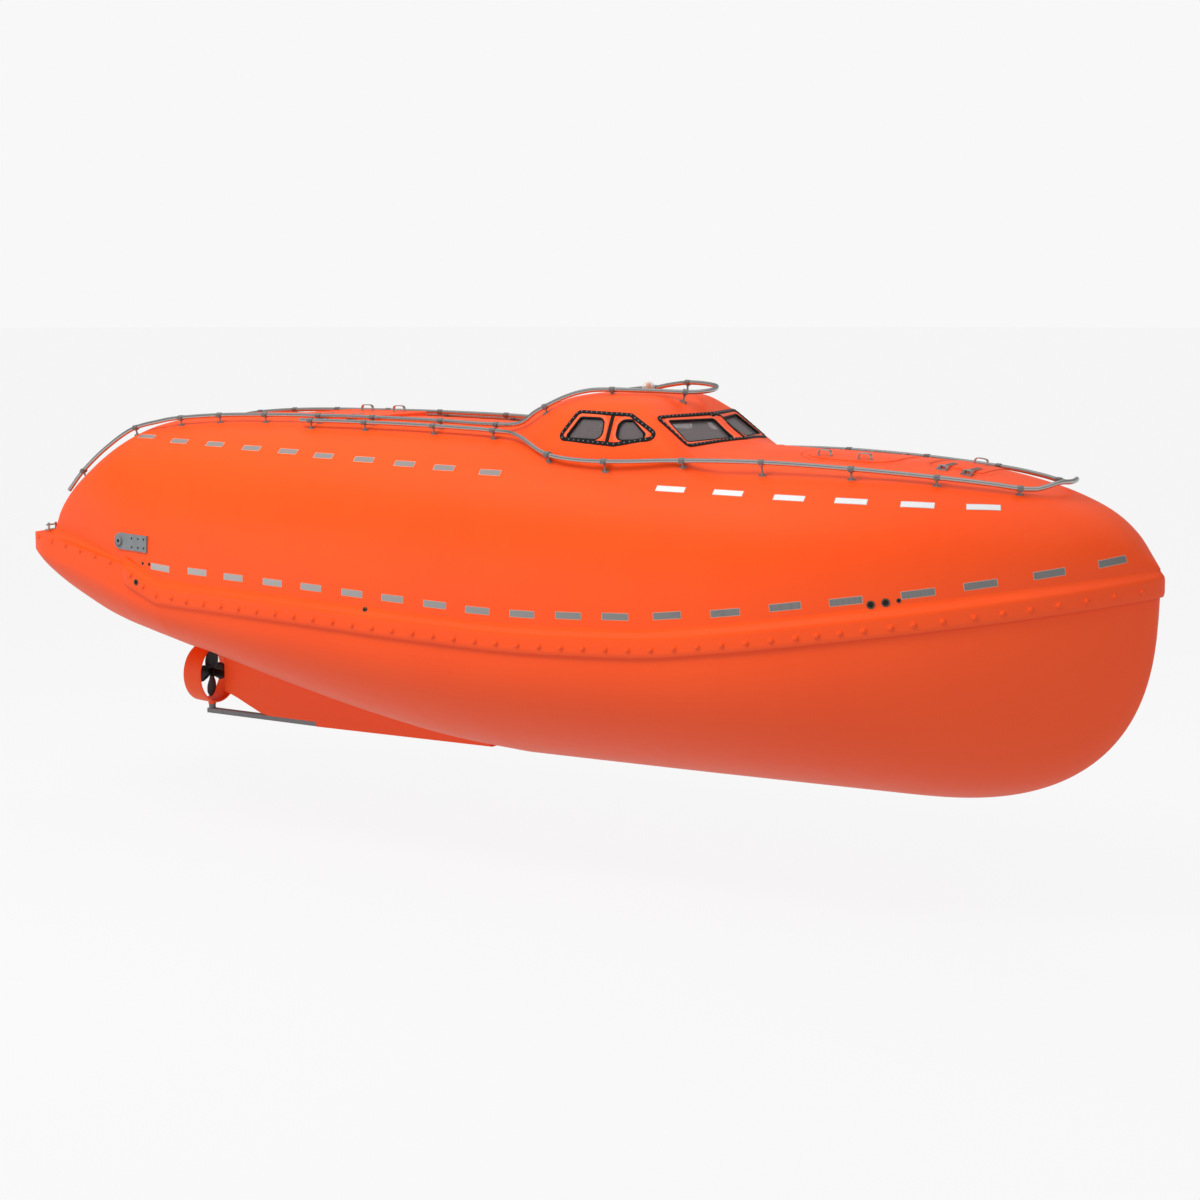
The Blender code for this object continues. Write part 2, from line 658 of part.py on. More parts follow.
# Lids that close flush in the canopy: place, slope, size and hinge side.
LID_THICKNESS = 0.024
LID_CLEARANCE = 0.006
HINGE_RADIUS = 0.014
LIDS = {
    'fore_hatch': {'centre': (3.61, 0.0), 'half': (0.56, 0.60), 'corner': 0.34, 'hinge': 1,
                   'straps': (-0.19, 0.17), 'handles': ((-0.34, -0.42), (0.10, -0.42))},
    'bow_hatch': {'centre': (4.76, 0.0), 'half': (0.31, 0.40), 'corner': 0.12, 'hinge': -1,
                  'straps': (-0.13, 0.13), 'handles': ((-0.07, 0.24),)},
    'stern_door': {'centre': (-5.98, 0.0), 'half': (0.46, 0.36), 'corner': 0.12, 'hinge': 1,
                   'straps': (-0.28, 0.28), 'handles': ((-0.07, -0.22),)},
}


def roof_frame(x):
    """Frame on the crown at x: X along the roof, Z out of it."""
    step = 0.25
    slope = (roof_height(x + step) - roof_height(x - step)) / (2 * step)
    along = Vector((1, 0, slope)).normalized()
    out = Vector((-along.z, 0, along.x))
    turn = Matrix((along, Vector((0, 1, 0)), out)).transposed().to_4x4()
    return Matrix.Translation((x, 0, roof_height(x))) @ turn


def put_origin(thing, point):
    """Moves the object's origin to point, leaving its shape where it is."""
    thing.data.transform(Matrix.Translation(-Vector(point)))
    thing.location = point


def surface_drop(frame, x, y):
    """Height of the canopy above the frame's plane, at x and y in that frame."""
    spot = frame @ Vector((x, y, 0))
    place, _ = seat((spot.x, spot.y))
    return (frame.inverted() @ place).z


def handle_bar(name, frame, x, y, length, height, bottom):
    """Arched grab handle of flat bar, standing on the lid."""
    thick, width = 0.012, 0.03
    outline = [(x - thick, bottom), (x - thick, bottom + height), (x + length, bottom + height),
               (x + length, bottom), (x + length - thick, bottom),
               (x + length - thick, bottom + height - thick), (x, bottom + height - thick), (x, bottom)]
    upright = Matrix.Rotation(math.radians(90), 4, 'X')
    return prism(name, outline, -y - width / 2, -y + width / 2, frame @ upright)


def make_lid(canopy, name, plan):
    """Flush lid with straps and handles, its opening and seat, and its hinge blocks."""
    frame = roof_frame(plan['centre'][0])
    half_x, half_y = plan['half']
    corners = [(-half_x, -half_y), (half_x, -half_y), (half_x, half_y), (-half_x, half_y)]
    outline = rounded_outline(corners, plan['corner'], 4)
    out = frame.to_3x3() @ Vector((0, 0, 1))

    lid = prism(name, outline, -0.15, 0.1, frame)
    combine(lid, canopy_outside(name + '_skin'), 'INTERSECT')
    combine(lid, canopy_outside(name + '_under', -out * LID_THICKNESS), 'DIFFERENCE')

    rebate = prism(name + '_rebate', inset_outline(outline, -LID_CLEARANCE), -0.15, 0.1, frame)
    combine(rebate, canopy_outside(name + '_seat', -out * (LID_THICKNESS + GAP)), 'DIFFERENCE')
    combine(canopy, rebate, 'DIFFERENCE')
    through = prism(name + '_through', inset_outline(outline, 0.035), -0.3, 0.1, frame)
    combine(canopy, through, 'DIFFERENCE')
    return lid, frame


def finish_lid(lid, frame, name, plan):
    """Adds what stands on the lid, once the canopy's surface can be measured."""
    half_x, half_y = plan['half']
    way = plan['hinge']
    edge = surface_drop(frame, 0, way * (half_y + 0.03))
    axis_y = way * (half_y + 0.022)
    axis_z = edge + HINGE_RADIUS + 0.012
    axis = frame @ Vector((0, axis_y, axis_z))
    for k, x in enumerate(plan['straps']):
        reach = axis_y - way * 0.24
        low = surface_drop(frame, x, reach)
        outline = [(axis_y, axis_z - 0.006), (axis_y, axis_z + 0.006), (reach, low + 0.012),
                   (reach, low - 0.01), (axis_y - way * 0.05, axis_z - 0.02)]
        if way < 0:
            outline.reverse()
        side_on = frame @ Matrix(((0, 0, 1, 0), (1, 0, 0, 0), (0, 1, 0, 0), (0, 0, 0, 1)))
        strap = prism('%s_strap_%d' % (name, k), outline, x - 0.025, x + 0.025, side_on)
        barrel = cylinder('%s_barrel_%d' % (name, k), frame @ Vector((x - 0.025, axis_y, axis_z)),
                          frame @ Vector((x + 0.025, axis_y, axis_z)), HINGE_RADIUS, 10)
        combine(lid, strap, 'UNION')
        combine(lid, barrel, 'UNION')
    for k, (x, y) in enumerate(plan['handles']):
        bottom = min(surface_drop(frame, x + dx, y + dy) for dx in (0, 0.15) for dy in (-0.02, 0.02))
        handle = handle_bar('%s_handle_%d' % (name, k), frame, x, y, 0.15, 0.075, bottom - 0.008)
        combine(lid, handle, 'UNION')
    make_hinge_blocks(name, frame, plan['straps'], axis_y, axis_z, 0.025)
    put_origin(lid, axis)
    return axis


BODY_RAIL = 0.025
RAIL_HEIGHT = 0.10
DECK_RAIL_PLAN = [(-2.95, 0.79), (-2.2, 0.79), (-1.2, 0.79), (-0.38, 0.80), (0.02, 0.92), (0.44, 1.12),
                  (0.85, 1.175), (1.4, 1.17), (2.06, 1.10), (2.95, 1.02), (3.88, 0.94), (4.75, 0.80),
                  (5.30, 0.60), (5.62, 0.36), (5.76, 0.12)]
DECK_RAIL_POSTS = [-2.79, -2.06, -1.15, -0.38, 0.44, 1.2, 2.06, 2.95, 3.88, 4.75, 5.45]
ROOF_RAIL_PLAN = [(-6.36, 0.83), (-6.15, 0.82), (-5.8, 0.81), (-5.42, 0.78), (-5.05, 0.74), (-4.75, 0.71),
                  (-4.2, 0.69), (-3.55, 0.67), (-2.8, 0.655), (-2.06, 0.65), (-1.15, 0.65), (-0.55, 0.65),
                  (-0.1, 0.62), (0.15, 0.59), (0.45, 0.54), (0.9, 0.47), (1.3, 0.41), (1.6, 0.31),
                  (1.72, 0.16), (1.75, 0.0)]
ROOF_RAIL_POSTS = [-6.2, -5.42, -4.75, -4.2, -3.55, -2.8, -2.06, -1.15, -0.42, 0.12, 0.9, 1.5]

SHORT_RAIL_PLAN = [(-4.63, 0.86), (-4.2, 0.84), (-3.75, 0.82), (-3.40, 0.80)]
SHORT_RAIL_POSTS = [-4.45, -3.9, -3.5]

SURFACE = {}


def measure_surface(canopy):
    """Keeps the finished canopy's faces, so that fittings can be stood on them."""
    graph = bpy.context.evaluated_depsgraph_get()
    SURFACE['canopy'] = BVHTree.FromObject(canopy, graph)


def seat(spot, sideways=False):
    """Point and normal of the canopy straight below (x, y), or inboard of (x, z)."""
    if sideways:
        start, way = Vector((spot[0], -4, spot[1])), Vector((0, 1, 0))
    else:
        start, way = Vector((spot[0], spot[1], 6)), Vector((0, 0, -1))
    place, normal, _, _ = SURFACE['canopy'].ray_cast(start, way)
    return place, normal


def plan_at(plan, x):
    for (x0, y0), (x1, y1) in zip(plan, plan[1:]):
        if x0 <= x <= x1:
            return y0 + (y1 - y0) * (x - x0) / (x1 - x0)
    return plan[-1][1]


def post_solid(mesh, place, normal, height):
    """Foot and stem of one rail post, standing on place along normal."""
    sides = 6
    turn = normal.to_track_quat('Z', 'Y').to_matrix()
    lift = 0.0
    for k in range(48):
        angle = math.tau * k / 16
        radius = 0.012 * (1 + k // 16)
        start = place + turn @ Vector((radius * math.cos(angle), radius * math.sin(angle), 0.15))
        hit = SURFACE['canopy'].ray_cast(start, -normal)[0]
        lift = max(lift, (hit - place).dot(normal))
    if lift > 1e-5:
        lift += 0.0005
    rings = []
    for radius, level in ((0.034, lift + GAP), (0.034, lift + 0.009), (0.013, lift + 0.012), (0.013, height)):
        ring = []
        for k in range(sides):
            angle = math.tau * k / sides
            spot = Vector((radius * math.cos(angle), radius * math.sin(angle), level))
            ring.append(mesh.verts.new(place + turn @ spot))
        rings.append(ring)
    for one, other in zip(rings, rings[1:]):
        for i in range(sides):
            j = (i + 1) % sides
            mesh.faces.new((one[i], one[j], other[j], other[i]))
    mesh.faces.new(list(reversed(rings[0])))
    mesh.faces.new(rings[-1])


def make_rail(name, plan, post_places, both=True, height=RAIL_HEIGHT):
    """Grab rail that follows the canopy along plan, on both sides and round the bow end, or to port only."""
    points = []
    for x, y in plan:
        place, normal = seat((x, -y))
        points.append(place + normal * height)
    port = [Vector((p.x, -p.y, p.z)) for p in reversed(points) if abs(p.y) > 1e-3]
    rail = tube(name, smooth_path(points + port if both else port, 0.24), BODY_RAIL)
    posts = bmesh.new()
    for x in post_places:
        for side in (-1, 1) if both else (1,):
            place, normal = seat((x, side * plan_at(plan, x)))
            post_solid(posts, place, normal, height)
    combine(rail, finish(name + '_posts', posts), 'UNION')
    return paint(rail, 'stainless_steel')


def make_lamp():
    """Position light on the wheelhouse roof: base and clear dome."""
    place, _ = seat((1.08, 0))
    base = cylinder('lamp_base', place + Vector((0, 0, GAP)), place + Vector((0, 0, 0.025)), 0.075, 24)
    paint(base, 'black_rubber')
    foot = place.z + 0.025 + GAP
    height, radius, wall = 4.17 - foot, 0.07, 0.004
    outer = [(radius, 0.0)] + [(radius * math.cos(a), 0.02 + (height - 0.02) * math.sin(a))
                               for a in (math.pi / 2 * k / 6 for k in range(7))]
    inner = [(max(0.0, r - wall), max(0.0, z - wall) if z > 0 else 0.0) for r, z in reversed(outer)]
    outer[-1] = (0.0, height)
    inner[0] = (0.0, height - wall)
    dome = turned('lamp_dome', (1.08, 0, foot), outer + inner, 24, close=True)
    paint(dome, 'clear_acrylic')


def turned(name, origin, profile, sides, close=False):
    """Solid of revolution about the upright line through origin."""
    mesh = bmesh.new()
    origin = Vector(origin)
    rings = []
    for radius, level in profile:
        if radius < 1e-6:
            rings.append([mesh.verts.new(origin + Vector((0, 0, level)))])
            continue
        rings.append([mesh.verts.new(origin + Vector((radius * math.cos(a), radius * math.sin(a), level)))
                      for a in (math.tau * k / sides for k in range(sides))])
    pairs = list(zip(rings, rings[1:])) + ([(rings[-1], rings[0])] if close else [])
    for one, other in pairs:
        if len(one) == 1 and len(other) == 1:
            continue
        for i in range(sides):
            j = (i + 1) % sides
            corners = [one[i % len(one)], one[j % len(one)], other[j % len(other)], other[i % len(other)]]
            unique = list(dict.fromkeys(corners))
            mesh.faces.new(unique)
    bmesh.ops.recalc_face_normals(mesh, faces=mesh.faces)
    return finish(name, mesh)


def make_aft_hatch(canopy):
    """Flat-topped aft hatch that stands on the crown."""
    low, high, half, top = -3.2, -2.1, 0.5, 3.745
    outline = rounded_outline([(low, -half), (high, -half), (high, half), (low, half)], 0.06)
    lid = prism('aft_hatch', outline, 3.5, top)
    combine(lid, canopy_outside('aft_hatch_under', (0, 0, GAP)), 'DIFFERENCE')
    combine(canopy, prism('aft_hatch_through', inset_outline(outline, 0.05), 3.3, 4.0), 'DIFFERENCE')
    return lid


def finish_aft_hatch(lid):
    """Hinge barrels and handles of the aft hatch."""
    axis_y, top = -0.53, 3.745
    axis_z = seat((-2.5, axis_y))[0].z + 0.03
    for k, x in enumerate((-2.85, -2.45)):
        low = (x - 0.03, axis_y - 0.002, axis_z - 0.008)
        arm = box('aft_hatch_arm_%d' % k, low, (x + 0.03, -0.49, axis_z + 0.012))
        barrel = cylinder('aft_hatch_barrel_%d' % k, (x - 0.03, axis_y, axis_z), (x + 0.03, axis_y, axis_z),
                          HINGE_RADIUS, 10)
        combine(lid, arm, 'UNION')
        combine(lid, barrel, 'UNION')
    flat = Matrix.Identity(4)
    for k, x in enumerate((-2.95, -2.50)):
        combine(lid, handle_bar('aft_hatch_handle_%d' % k, flat, x, 0.36, 0.16, 0.075, top - 0.008), 'UNION')
    make_hinge_blocks('aft_hatch', flat, (-2.85, -2.45), axis_y, axis_z, 0.03)
    put_origin(lid, (-2.65, axis_y, axis_z))
    return (-2.65, axis_y, axis_z)


def fit_on_canopy(thing, shift=(0, 0, GAP)):
    """Cuts away what would reach into the canopy, leaving the usual gap."""
    name = 'canopy_clearance_%.4f_%.4f' % (shift[1], shift[2])
    clearance = bpy.data.objects.get(name)
    if clearance is None:
        clearance = canopy_outside(name, shift)
    combine(thing, clearance, 'DIFFERENCE')


def make_hinge_blocks(name, frame, straps, axis_y, axis_z, strap_half):
    """Base plate with a lug on each side of every strap, standing on the canopy."""
    outboard = 1 if axis_y > 0 else -1
    for k, x in enumerate(straps):
        reach = strap_half + 0.03
        ends = (x - reach, x + reach)
        low = min(surface_drop(frame, s, axis_y + outboard * y) for s in ends for y in (0, 0.075))
        top = max(surface_drop(frame, s, axis_y + outboard * 0.02) for s in (x - reach, x + reach)) + 0.012
        y0, y1 = sorted((axis_y + outboard * 0.018, axis_y + outboard * 0.075))
        plate = box('%s_hinge_%d' % (name, k), (x - reach, y0, low - 0.02), (x + reach, y1, top), frame)
        for side in (-1, 1):
            inner, outer = sorted((x + side * (strap_half + 0.0005), x + side * (reach - 0.001)))
            y0, y1 = sorted((axis_y - outboard * 0.012, axis_y + outboard * 0.03))
            lug = box('%s_lug_%d_%d' % (name, k, side), (inner, y0, low - 0.018),
                      (outer, y1, axis_z + HINGE_RADIUS), frame)
            combine(plate, lug, 'UNION')
        fit_on_canopy(plate)
        paint(plate, 'stainless_steel')


def make_lifting_plate(side):
    """Flat lug on the quarter that the release hook takes, with its bushed eye."""
    name = 'lifting_plate_' + ('starboard' if side < 0 else 'port')
    centre_x, centre_z = -4.92, 2.255
    place, normal = seat((centre_x, centre_z), sideways=True)
    if side > 0:
        place, normal = Vector((place.x, -place.y, place.z)), Vector((normal.x, -normal.y, normal.z))
    along = Vector((1, 0, -0.03))
    along = (along - normal * along.dot(normal)).normalized()
    up = normal.cross(along)
    frame = Matrix.Translation(place) @ Matrix((along, up, normal)).transposed().to_4x4()
    half, end, eye = 0.095, 0.31, -0.17
    arc = [(eye + half * math.cos(a), half * math.sin(a)) for a in
           (math.radians(d) for d in range(90, 271, 20))]
    outline = [(end, half)] + arc + [(end, -half)]
    plate = prism(name, outline, -0.02, 0.018, frame)
    fit_on_canopy(plate, (0, side * GAP, 0))
    boss = cylinder(name + '_boss', frame @ Vector((eye, 0, 0.01)), frame @ Vector((eye, 0, 0.042)), 0.05)
    combine(plate, boss, 'UNION')
    hole = cylinder(name + '_eye', frame @ Vector((eye, 0, -0.05)), frame @ Vector((eye, 0, 0.09)), 0.024)
    combine(plate, hole, 'DIFFERENCE')
    return paint(plate, 'painted_grey_steel')


def make_bollard(side):
    """Pair of short posts with a cross bar on the stern ledge."""
    name = 'stern_bollard_' + ('starboard' if side < 0 else 'port')
    spots = [(-6.655, 0.98), (-6.655, 0.86)]
    base_z = max(seat((x + dx, -y))[0].z for x, y in spots for dx in (-0.03, 0.03)) + GAP
    middle = side * 0.92
    plate = box(name, (-6.685, middle - 0.10, base_z - 0.03), (-6.625, middle + 0.10, base_z + 0.008))
    fit_on_canopy(plate)
    for k, (x, y) in enumerate(spots):
        foot, head = (x, side * y, base_z + 0.004), (x, side * y, base_z + 0.085)
        post = cylinder('%s_post_%d' % (name, k), foot, head, 0.014, 10)
        combine(plate, post, 'UNION')
    ends = [(-6.655, middle + reach, base_z + 0.06) for reach in (-0.10, 0.10)]
    bar = cylinder(name + '_bar', ends[0], ends[1], 0.010, 10)
    combine(plate, bar, 'UNION')
    return paint(plate, 'stainless_steel')


# Cabin furniture.
HELM_FLOOR = 2.45


def hull_inside_at(x, height):
    """Half-breadth of the hull's inner face at a height above the keel."""
    rib = hull_rib(x, WALL)
    for (y0, z0), (y1, z1) in zip(rib, rib[1:]):
        if z1 <= height <= z0:
            return y0 + (y1 - y0) * (z0 - height) / (z0 - z1) if z0 > z1 else y0
    return 0.0


def hull_inside_height(x, y):
    """Height of the hull's inner face at a distance from the centreline."""
    rib = hull_rib(x, WALL)
    for (y0, z0), (y1, z1) in zip(rib, rib[1:]):
        if y1 <= y <= y0 and y0 > y1:
            return z1 + (z0 - z1) * (y - y1) / (y0 - y1)
    return rib[-1][1]


def make_cabin():
    """Deck on its bearers, engine, helm platform, seat and console."""
    edge = 0.004
    underside = DECK_HEIGHT - DECK_THICKNESS
    places = [x for x in stations(-4.5, 5.2) if hull_inside_at(x, underside) > 0.15]
    starboard = [(x, -(hull_inside_at(x, underside) - edge)) for x in places]
    deck = prism('cabin_deck', starboard + [(x, -y) for x, y in reversed(starboard)], underside, DECK_HEIGHT)
    for k, x in enumerate((0.35, 1.55)):
        ends = (x - 0.05, x + 0.05)
        low = max(hull_inside_height(e, 0.06) for e in ends) + GAP
        bearer = box('deck_bearer_%d' % k, (ends[0], -0.06, low), (ends[1], 0.06, DECK_HEIGHT - 0.02))
        combine(deck, bearer, 'UNION')
    paint(deck, 'grey_interior')
    floor = DECK_HEIGHT + GAP
    paint(box('engine_block', (-4.15, -0.38, floor), (-3.05, 0.38, floor + 0.8)), 'painted_grey_steel')
    platform = box('helm_platform', (0.30, -0.42, HELM_FLOOR - 0.06), (1.97, 0.42, HELM_FLOOR))
    for k, y in enumerate((-0.36, 0.36)):
        wall = box('helm_platform_wall_%d' % k, (0.34, y - 0.03, floor), (1.93, y + 0.03, HELM_FLOOR - 0.03))
        combine(platform, wall, 'UNION')
    paint(platform, 'grey_interior')
    seat_foot = HELM_FLOOR + GAP
    pan = box('helm_seat', (0.50, -0.24, seat_foot), (0.98, 0.24, seat_foot + 0.50))
    back = box('helm_seat_back', (0.44, -0.24, seat_foot + 0.2), (0.56, 0.24, seat_foot + 1.20))
    combine(pan, back, 'UNION')
    paint(pan, 'black_rubber')
    upright = Matrix.Rotation(math.radians(90), 4, 'X')
    dash = [(1.62, seat_foot), (1.62, 3.22), (1.58, 3.30), (1.80, 3.44), (1.92, 3.40), (1.92, seat_foot)]
    console = prism('helm_console', dash, -0.34, 0.34, upright)
    wheel = bmesh.new()
    rings = []
    for k in range(20):
        a = math.tau * k / 20
        centre = Vector((0, math.cos(a), math.sin(a)))
        rings.append([wheel.verts.new(centre * (0.17 + 0.012 * math.cos(b)) + Vector((0.012 * math.sin(b), 0, 0)))
                      for b in (math.tau * m / 6 for m in range(6))])
    for one, other in zip(rings, rings[1:] + rings[:1]):
        for m in range(6):
            n = (m + 1) % 6
            wheel.faces.new((one[m], one[n], other[n], other[m]))
    tilt = Matrix.Translation((1.545, 0, 3.36)) @ Matrix.Rotation(math.radians(-32), 4, 'Y')
    bmesh.ops.transform(wheel, matrix=tilt, verts=wheel.verts)
    bmesh.ops.recalc_face_normals(wheel, faces=wheel.faces)
    rim = finish('helm_wheel_rim', wheel)
    spoke = box('helm_wheel_spoke', (-0.008, -0.165, -0.012), (0.008, 0.165, 0.012), tilt)
    column = cylinder('helm_column', tilt @ Vector((0, 0, 0)), tilt @ Vector((0.16, 0, 0)), 0.022, 10)
    for part in (rim, spoke, column):
        combine(console, part, 'UNION')
    paint(console, 'grey_interior')


def main():
    clear_scene()
    make_finishes()
    make_hull()
    make_skeg()
    make_sole_bar()
    make_propeller()
    make_shaft()
    make_nozzle()
    make_fender()
    canopy = make_canopy()
    measure_surface(canopy)
    make_windows(canopy)
    aft_lid = make_aft_hatch(canopy)
    lids = {name: make_lid(canopy, name, plan) for name, plan in LIDS.items()}
    for name, (lid, frame) in lids.items():
        finish_lid(lid, frame, name, LIDS[name])
        paint(lid, 'orange_gelcoat')
    finish_aft_hatch(aft_lid)
    paint(aft_lid, 'orange_gelcoat')
    make_rail('roof_rail', ROOF_RAIL_PLAN, ROOF_RAIL_POSTS)
    make_rail('deck_rail', DECK_RAIL_PLAN, DECK_RAIL_POSTS)
    make_rail('short_rail', SHORT_RAIL_PLAN, SHORT_RAIL_POSTS, both=False)
    make_lamp()
    for side in (-1, 1):
        make_lifting_plate(side)
        make_bollard(side)
    make_cabin()
    for thing in bpy.data.objects:
        if thing.parent is None:
            thing.location.z -= DRAFT


main()
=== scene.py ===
import math
import bmesh
import bpy
import numpy as np
from mathutils import Matrix, Vector
from mathutils.bvhtree import BVHTree


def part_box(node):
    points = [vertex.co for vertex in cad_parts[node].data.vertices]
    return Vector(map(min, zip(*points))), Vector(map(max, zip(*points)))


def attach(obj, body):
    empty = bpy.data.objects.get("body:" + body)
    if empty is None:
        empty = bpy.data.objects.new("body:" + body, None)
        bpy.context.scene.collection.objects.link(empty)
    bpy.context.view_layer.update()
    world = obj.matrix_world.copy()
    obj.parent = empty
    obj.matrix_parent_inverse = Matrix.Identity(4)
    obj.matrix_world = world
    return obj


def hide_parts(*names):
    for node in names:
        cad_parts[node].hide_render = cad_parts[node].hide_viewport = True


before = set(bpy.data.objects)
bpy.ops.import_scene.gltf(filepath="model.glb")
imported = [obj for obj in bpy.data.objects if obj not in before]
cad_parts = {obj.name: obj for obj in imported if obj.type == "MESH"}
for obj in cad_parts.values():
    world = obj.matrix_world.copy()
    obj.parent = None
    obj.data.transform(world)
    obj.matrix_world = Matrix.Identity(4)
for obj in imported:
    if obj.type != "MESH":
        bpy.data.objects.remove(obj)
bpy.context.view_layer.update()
print("frame loaded")


# Small helpers for colours, nodes and meshes.
def hexColour(code):
    channels = [int(code[i:i + 2], 16) / 255 for i in (1, 3, 5)]
    linear = [c / 12.92 if c <= 0.04045 else ((c + 0.055) / 1.055) ** 2.4 for c in channels]
    return (*linear, 1.0)


# One node with its settings. Inputs are values or sockets; "feeds" is the socket that its output drives.
def addNode(tree, kind, inputs=None, out=0, feeds=None, **settings):
    node = tree.nodes.new(kind)
    for key, value in settings.items():
        setattr(node, key, value)
    for key, value in (inputs or {}).items():
        if isinstance(value, bpy.types.NodeSocket):
            tree.links.new(value, node.inputs[key])
        else:
            node.inputs[key].default_value = value
    if feeds:
        tree.links.new(node.outputs[out], feeds)
    return node.outputs[out]


def newFinish(name, **values):
    material = bpy.data.materials.new(name)
    material.use_nodes = True
    shader = material.node_tree.nodes["Principled BSDF"]
    for key, value in values.items():
        shader.inputs[key.replace("_", " ")].default_value = value
    return material, material.node_tree, addNode(material.node_tree, "ShaderNodeTexCoord", out="Object")


# Lets a pattern drive the colour between two tones, and where given the roughness and the relief.
def dress(material, tones, pattern, rough=None, wear=None, relief=None, height=None):
    tree = material.node_tree
    sockets = tree.nodes["Principled BSDF"].inputs
    low, high = (tone if isinstance(tone, bpy.types.NodeSocket) else hexColour(tone) for tone in tones)
    addNode(tree, "ShaderNodeMix", {0: pattern, 6: low, 7: high}, 2, sockets["Base Color"], data_type="RGBA")
    if rough:
        addNode(tree, "ShaderNodeMapRange", {"Value": wear or pattern, "To Min": rough[0], "To Max": rough[1]},
                feeds=sockets["Roughness"])
    if relief:
        strength, depth = relief
        addNode(tree, "ShaderNodeBump", {"Height": height or pattern, "Strength": strength, "Distance": depth},
                feeds=sockets["Normal"])
    return material


# Gelcoat on hand-laid glass fibre: sprayed into a polished mould, so it is smooth with a faint ripple,
# a little chalked by the sun and streaked by rain.
def gelcoatOrange(name="gelcoatOrange", low="#F74A04", high="#FB530B"):
    material, tree, place = newFinish(name, Roughness=0.42, Specular_IOR_Level=0.5)
    fade = addNode(tree, "ShaderNodeTexNoise", {"Vector": place, "Scale": 0.55, "Detail": 2.0})    # 2 m patches
    upright = addNode(tree, "ShaderNodeMapping", {"Vector": place, "Scale": (3.0, 3.0, 0.35)})
    streak = addNode(tree, "ShaderNodeTexNoise",                        # rain streaks about 150 mm wide
                     {"Vector": upright, "Scale": 2.2, "Detail": 4.0})
    faint = addNode(tree, "ShaderNodeMapRange", {"Value": streak, "To Min": -0.25, "To Max": 0.25})
    mixed = addNode(tree, "ShaderNodeMath", {0: fade, 1: faint}, operation="ADD")
    ripple = addNode(tree, "ShaderNodeTexNoise",                        # real ripple is 5 mm, drawn at 14 mm
                     {"Vector": place, "Scale": 70.0, "Detail": 2.0})
    return dress(material, (low, high), mixed, (0.38, 0.52), streak, (0.10, 0.0015), ripple)


# Drawn stainless steel tube, polished: mirror-like with fine handling marks.
def stainlessPolished():
    material, tree, place = newFinish("stainlessPolished", Metallic=1.0, Roughness=0.2)
    marks = addNode(tree, "ShaderNodeTexNoise", {"Vector": place, "Scale": 60.0, "Detail": 4.0})
    return dress(material, ("#B9B8B6", "#D2D1CF"), marks, (0.14, 0.30))


# Cast steel clamps and feet, tumbled and left dull: dark, with a sandy skin.
def castSteelDull():
    material, tree, place = newFinish("castSteelDull", Metallic=0.7, Roughness=0.46)
    skin = addNode(tree, "ShaderNodeTexNoise",                          # grit under 1 mm, drawn at 4 mm
                   {"Vector": place, "Scale": 220.0, "Detail": 3.0})
    return dress(material, ("#858280", "#A3A09D"), skin, relief=(0.25, 0.0008))


# Two-part paint over galvanised steel plate: satin mid grey with scuffs.
def paintGrey():
    material, tree, place = newFinish("paintGrey", Roughness=0.5)
    scuff = addNode(tree, "ShaderNodeTexNoise", {"Vector": place, "Scale": 9.0, "Detail": 6.0})
    peel = addNode(tree, "ShaderNodeTexNoise", {"Vector": place, "Scale": 160.0, "Detail": 3.0})
    return dress(material, ("#6C6F71", "#83878A"), scuff, (0.42, 0.62), None, (0.12, 0.0006), peel)


# EPDM rubber profile, extruded: near black with a chalky bloom.
def rubberBlack():
    material, tree, place = newFinish("rubberBlack", Roughness=0.6, Specular_IOR_Level=0.35)
    bloom = addNode(tree, "ShaderNodeTexNoise", {"Vector": place, "Scale": 26.0, "Detail": 5.0})
    pores = addNode(tree, "ShaderNodeTexNoise", {"Vector": place, "Scale": 400.0, "Detail": 3.0})
    return dress(material, ("#0A0A0A", "#1B1B1C"), bloom, (0.48, 0.72), None, (0.1, 0.0004), pores)


# Cast acrylic sheet: clear, faintly smoked, with a hard gloss. Most light passes straight through.
def acrylicClear(name="acrylicClear", tint="#867C7D", cover=0.30):
    material, tree, place = newFinish(name, Roughness=0.04, IOR=1.49, Alpha=cover, Base_Color=hexColour(tint))
    shader = tree.nodes["Principled BSDF"].inputs
    haze = addNode(tree, "ShaderNodeTexNoise", {"Vector": place, "Scale": 14.0, "Detail": 3.0})
    addNode(tree, "ShaderNodeMapRange", {"Value": haze, "To Min": 0.02, "To Max": 0.08},
            feeds=shader["Roughness"])
    edge = addNode(tree, "ShaderNodeLayerWeight", {"Blend": 0.35}, "Facing")        # denser seen edge-on
    addNode(tree, "ShaderNodeMapRange", {"Value": edge, "To Min": cover, "To Max": min(1.0, cover + 0.35)},
            feeds=shader["Alpha"])
    return material


# Painted inside of the glass fibre moulding: flow coat over woven roving, light grey and matt.
def flowcoatGrey():
    material, tree, place = newFinish("flowcoatGrey", Roughness=0.72)
    cloth = addNode(tree, "ShaderNodeTexChecker", {"Vector": place, "Scale": 45.0}, "Fac")    # 22 mm roving
    stain = addNode(tree, "ShaderNodeTexNoise", {"Vector": place, "Scale": 3.0, "Detail": 5.0})
    return dress(material, ("#8F9193", "#A9ABAD"), stain, relief=(0.15, 0.0008), height=cloth)


# Nickel-aluminium bronze under black antifouling paint: dark, half glossy, rubbed in patches.
def bronzeBlack():
    material, tree, place = newFinish("bronzeBlack", Roughness=0.35, Metallic=0.3)
    rubbed = addNode(tree, "ShaderNodeTexNoise", {"Vector": place, "Scale": 22.0, "Detail": 6.0})
    return dress(material, ("#0B0B0C", "#232426"), rubbed, (0.26, 0.46))


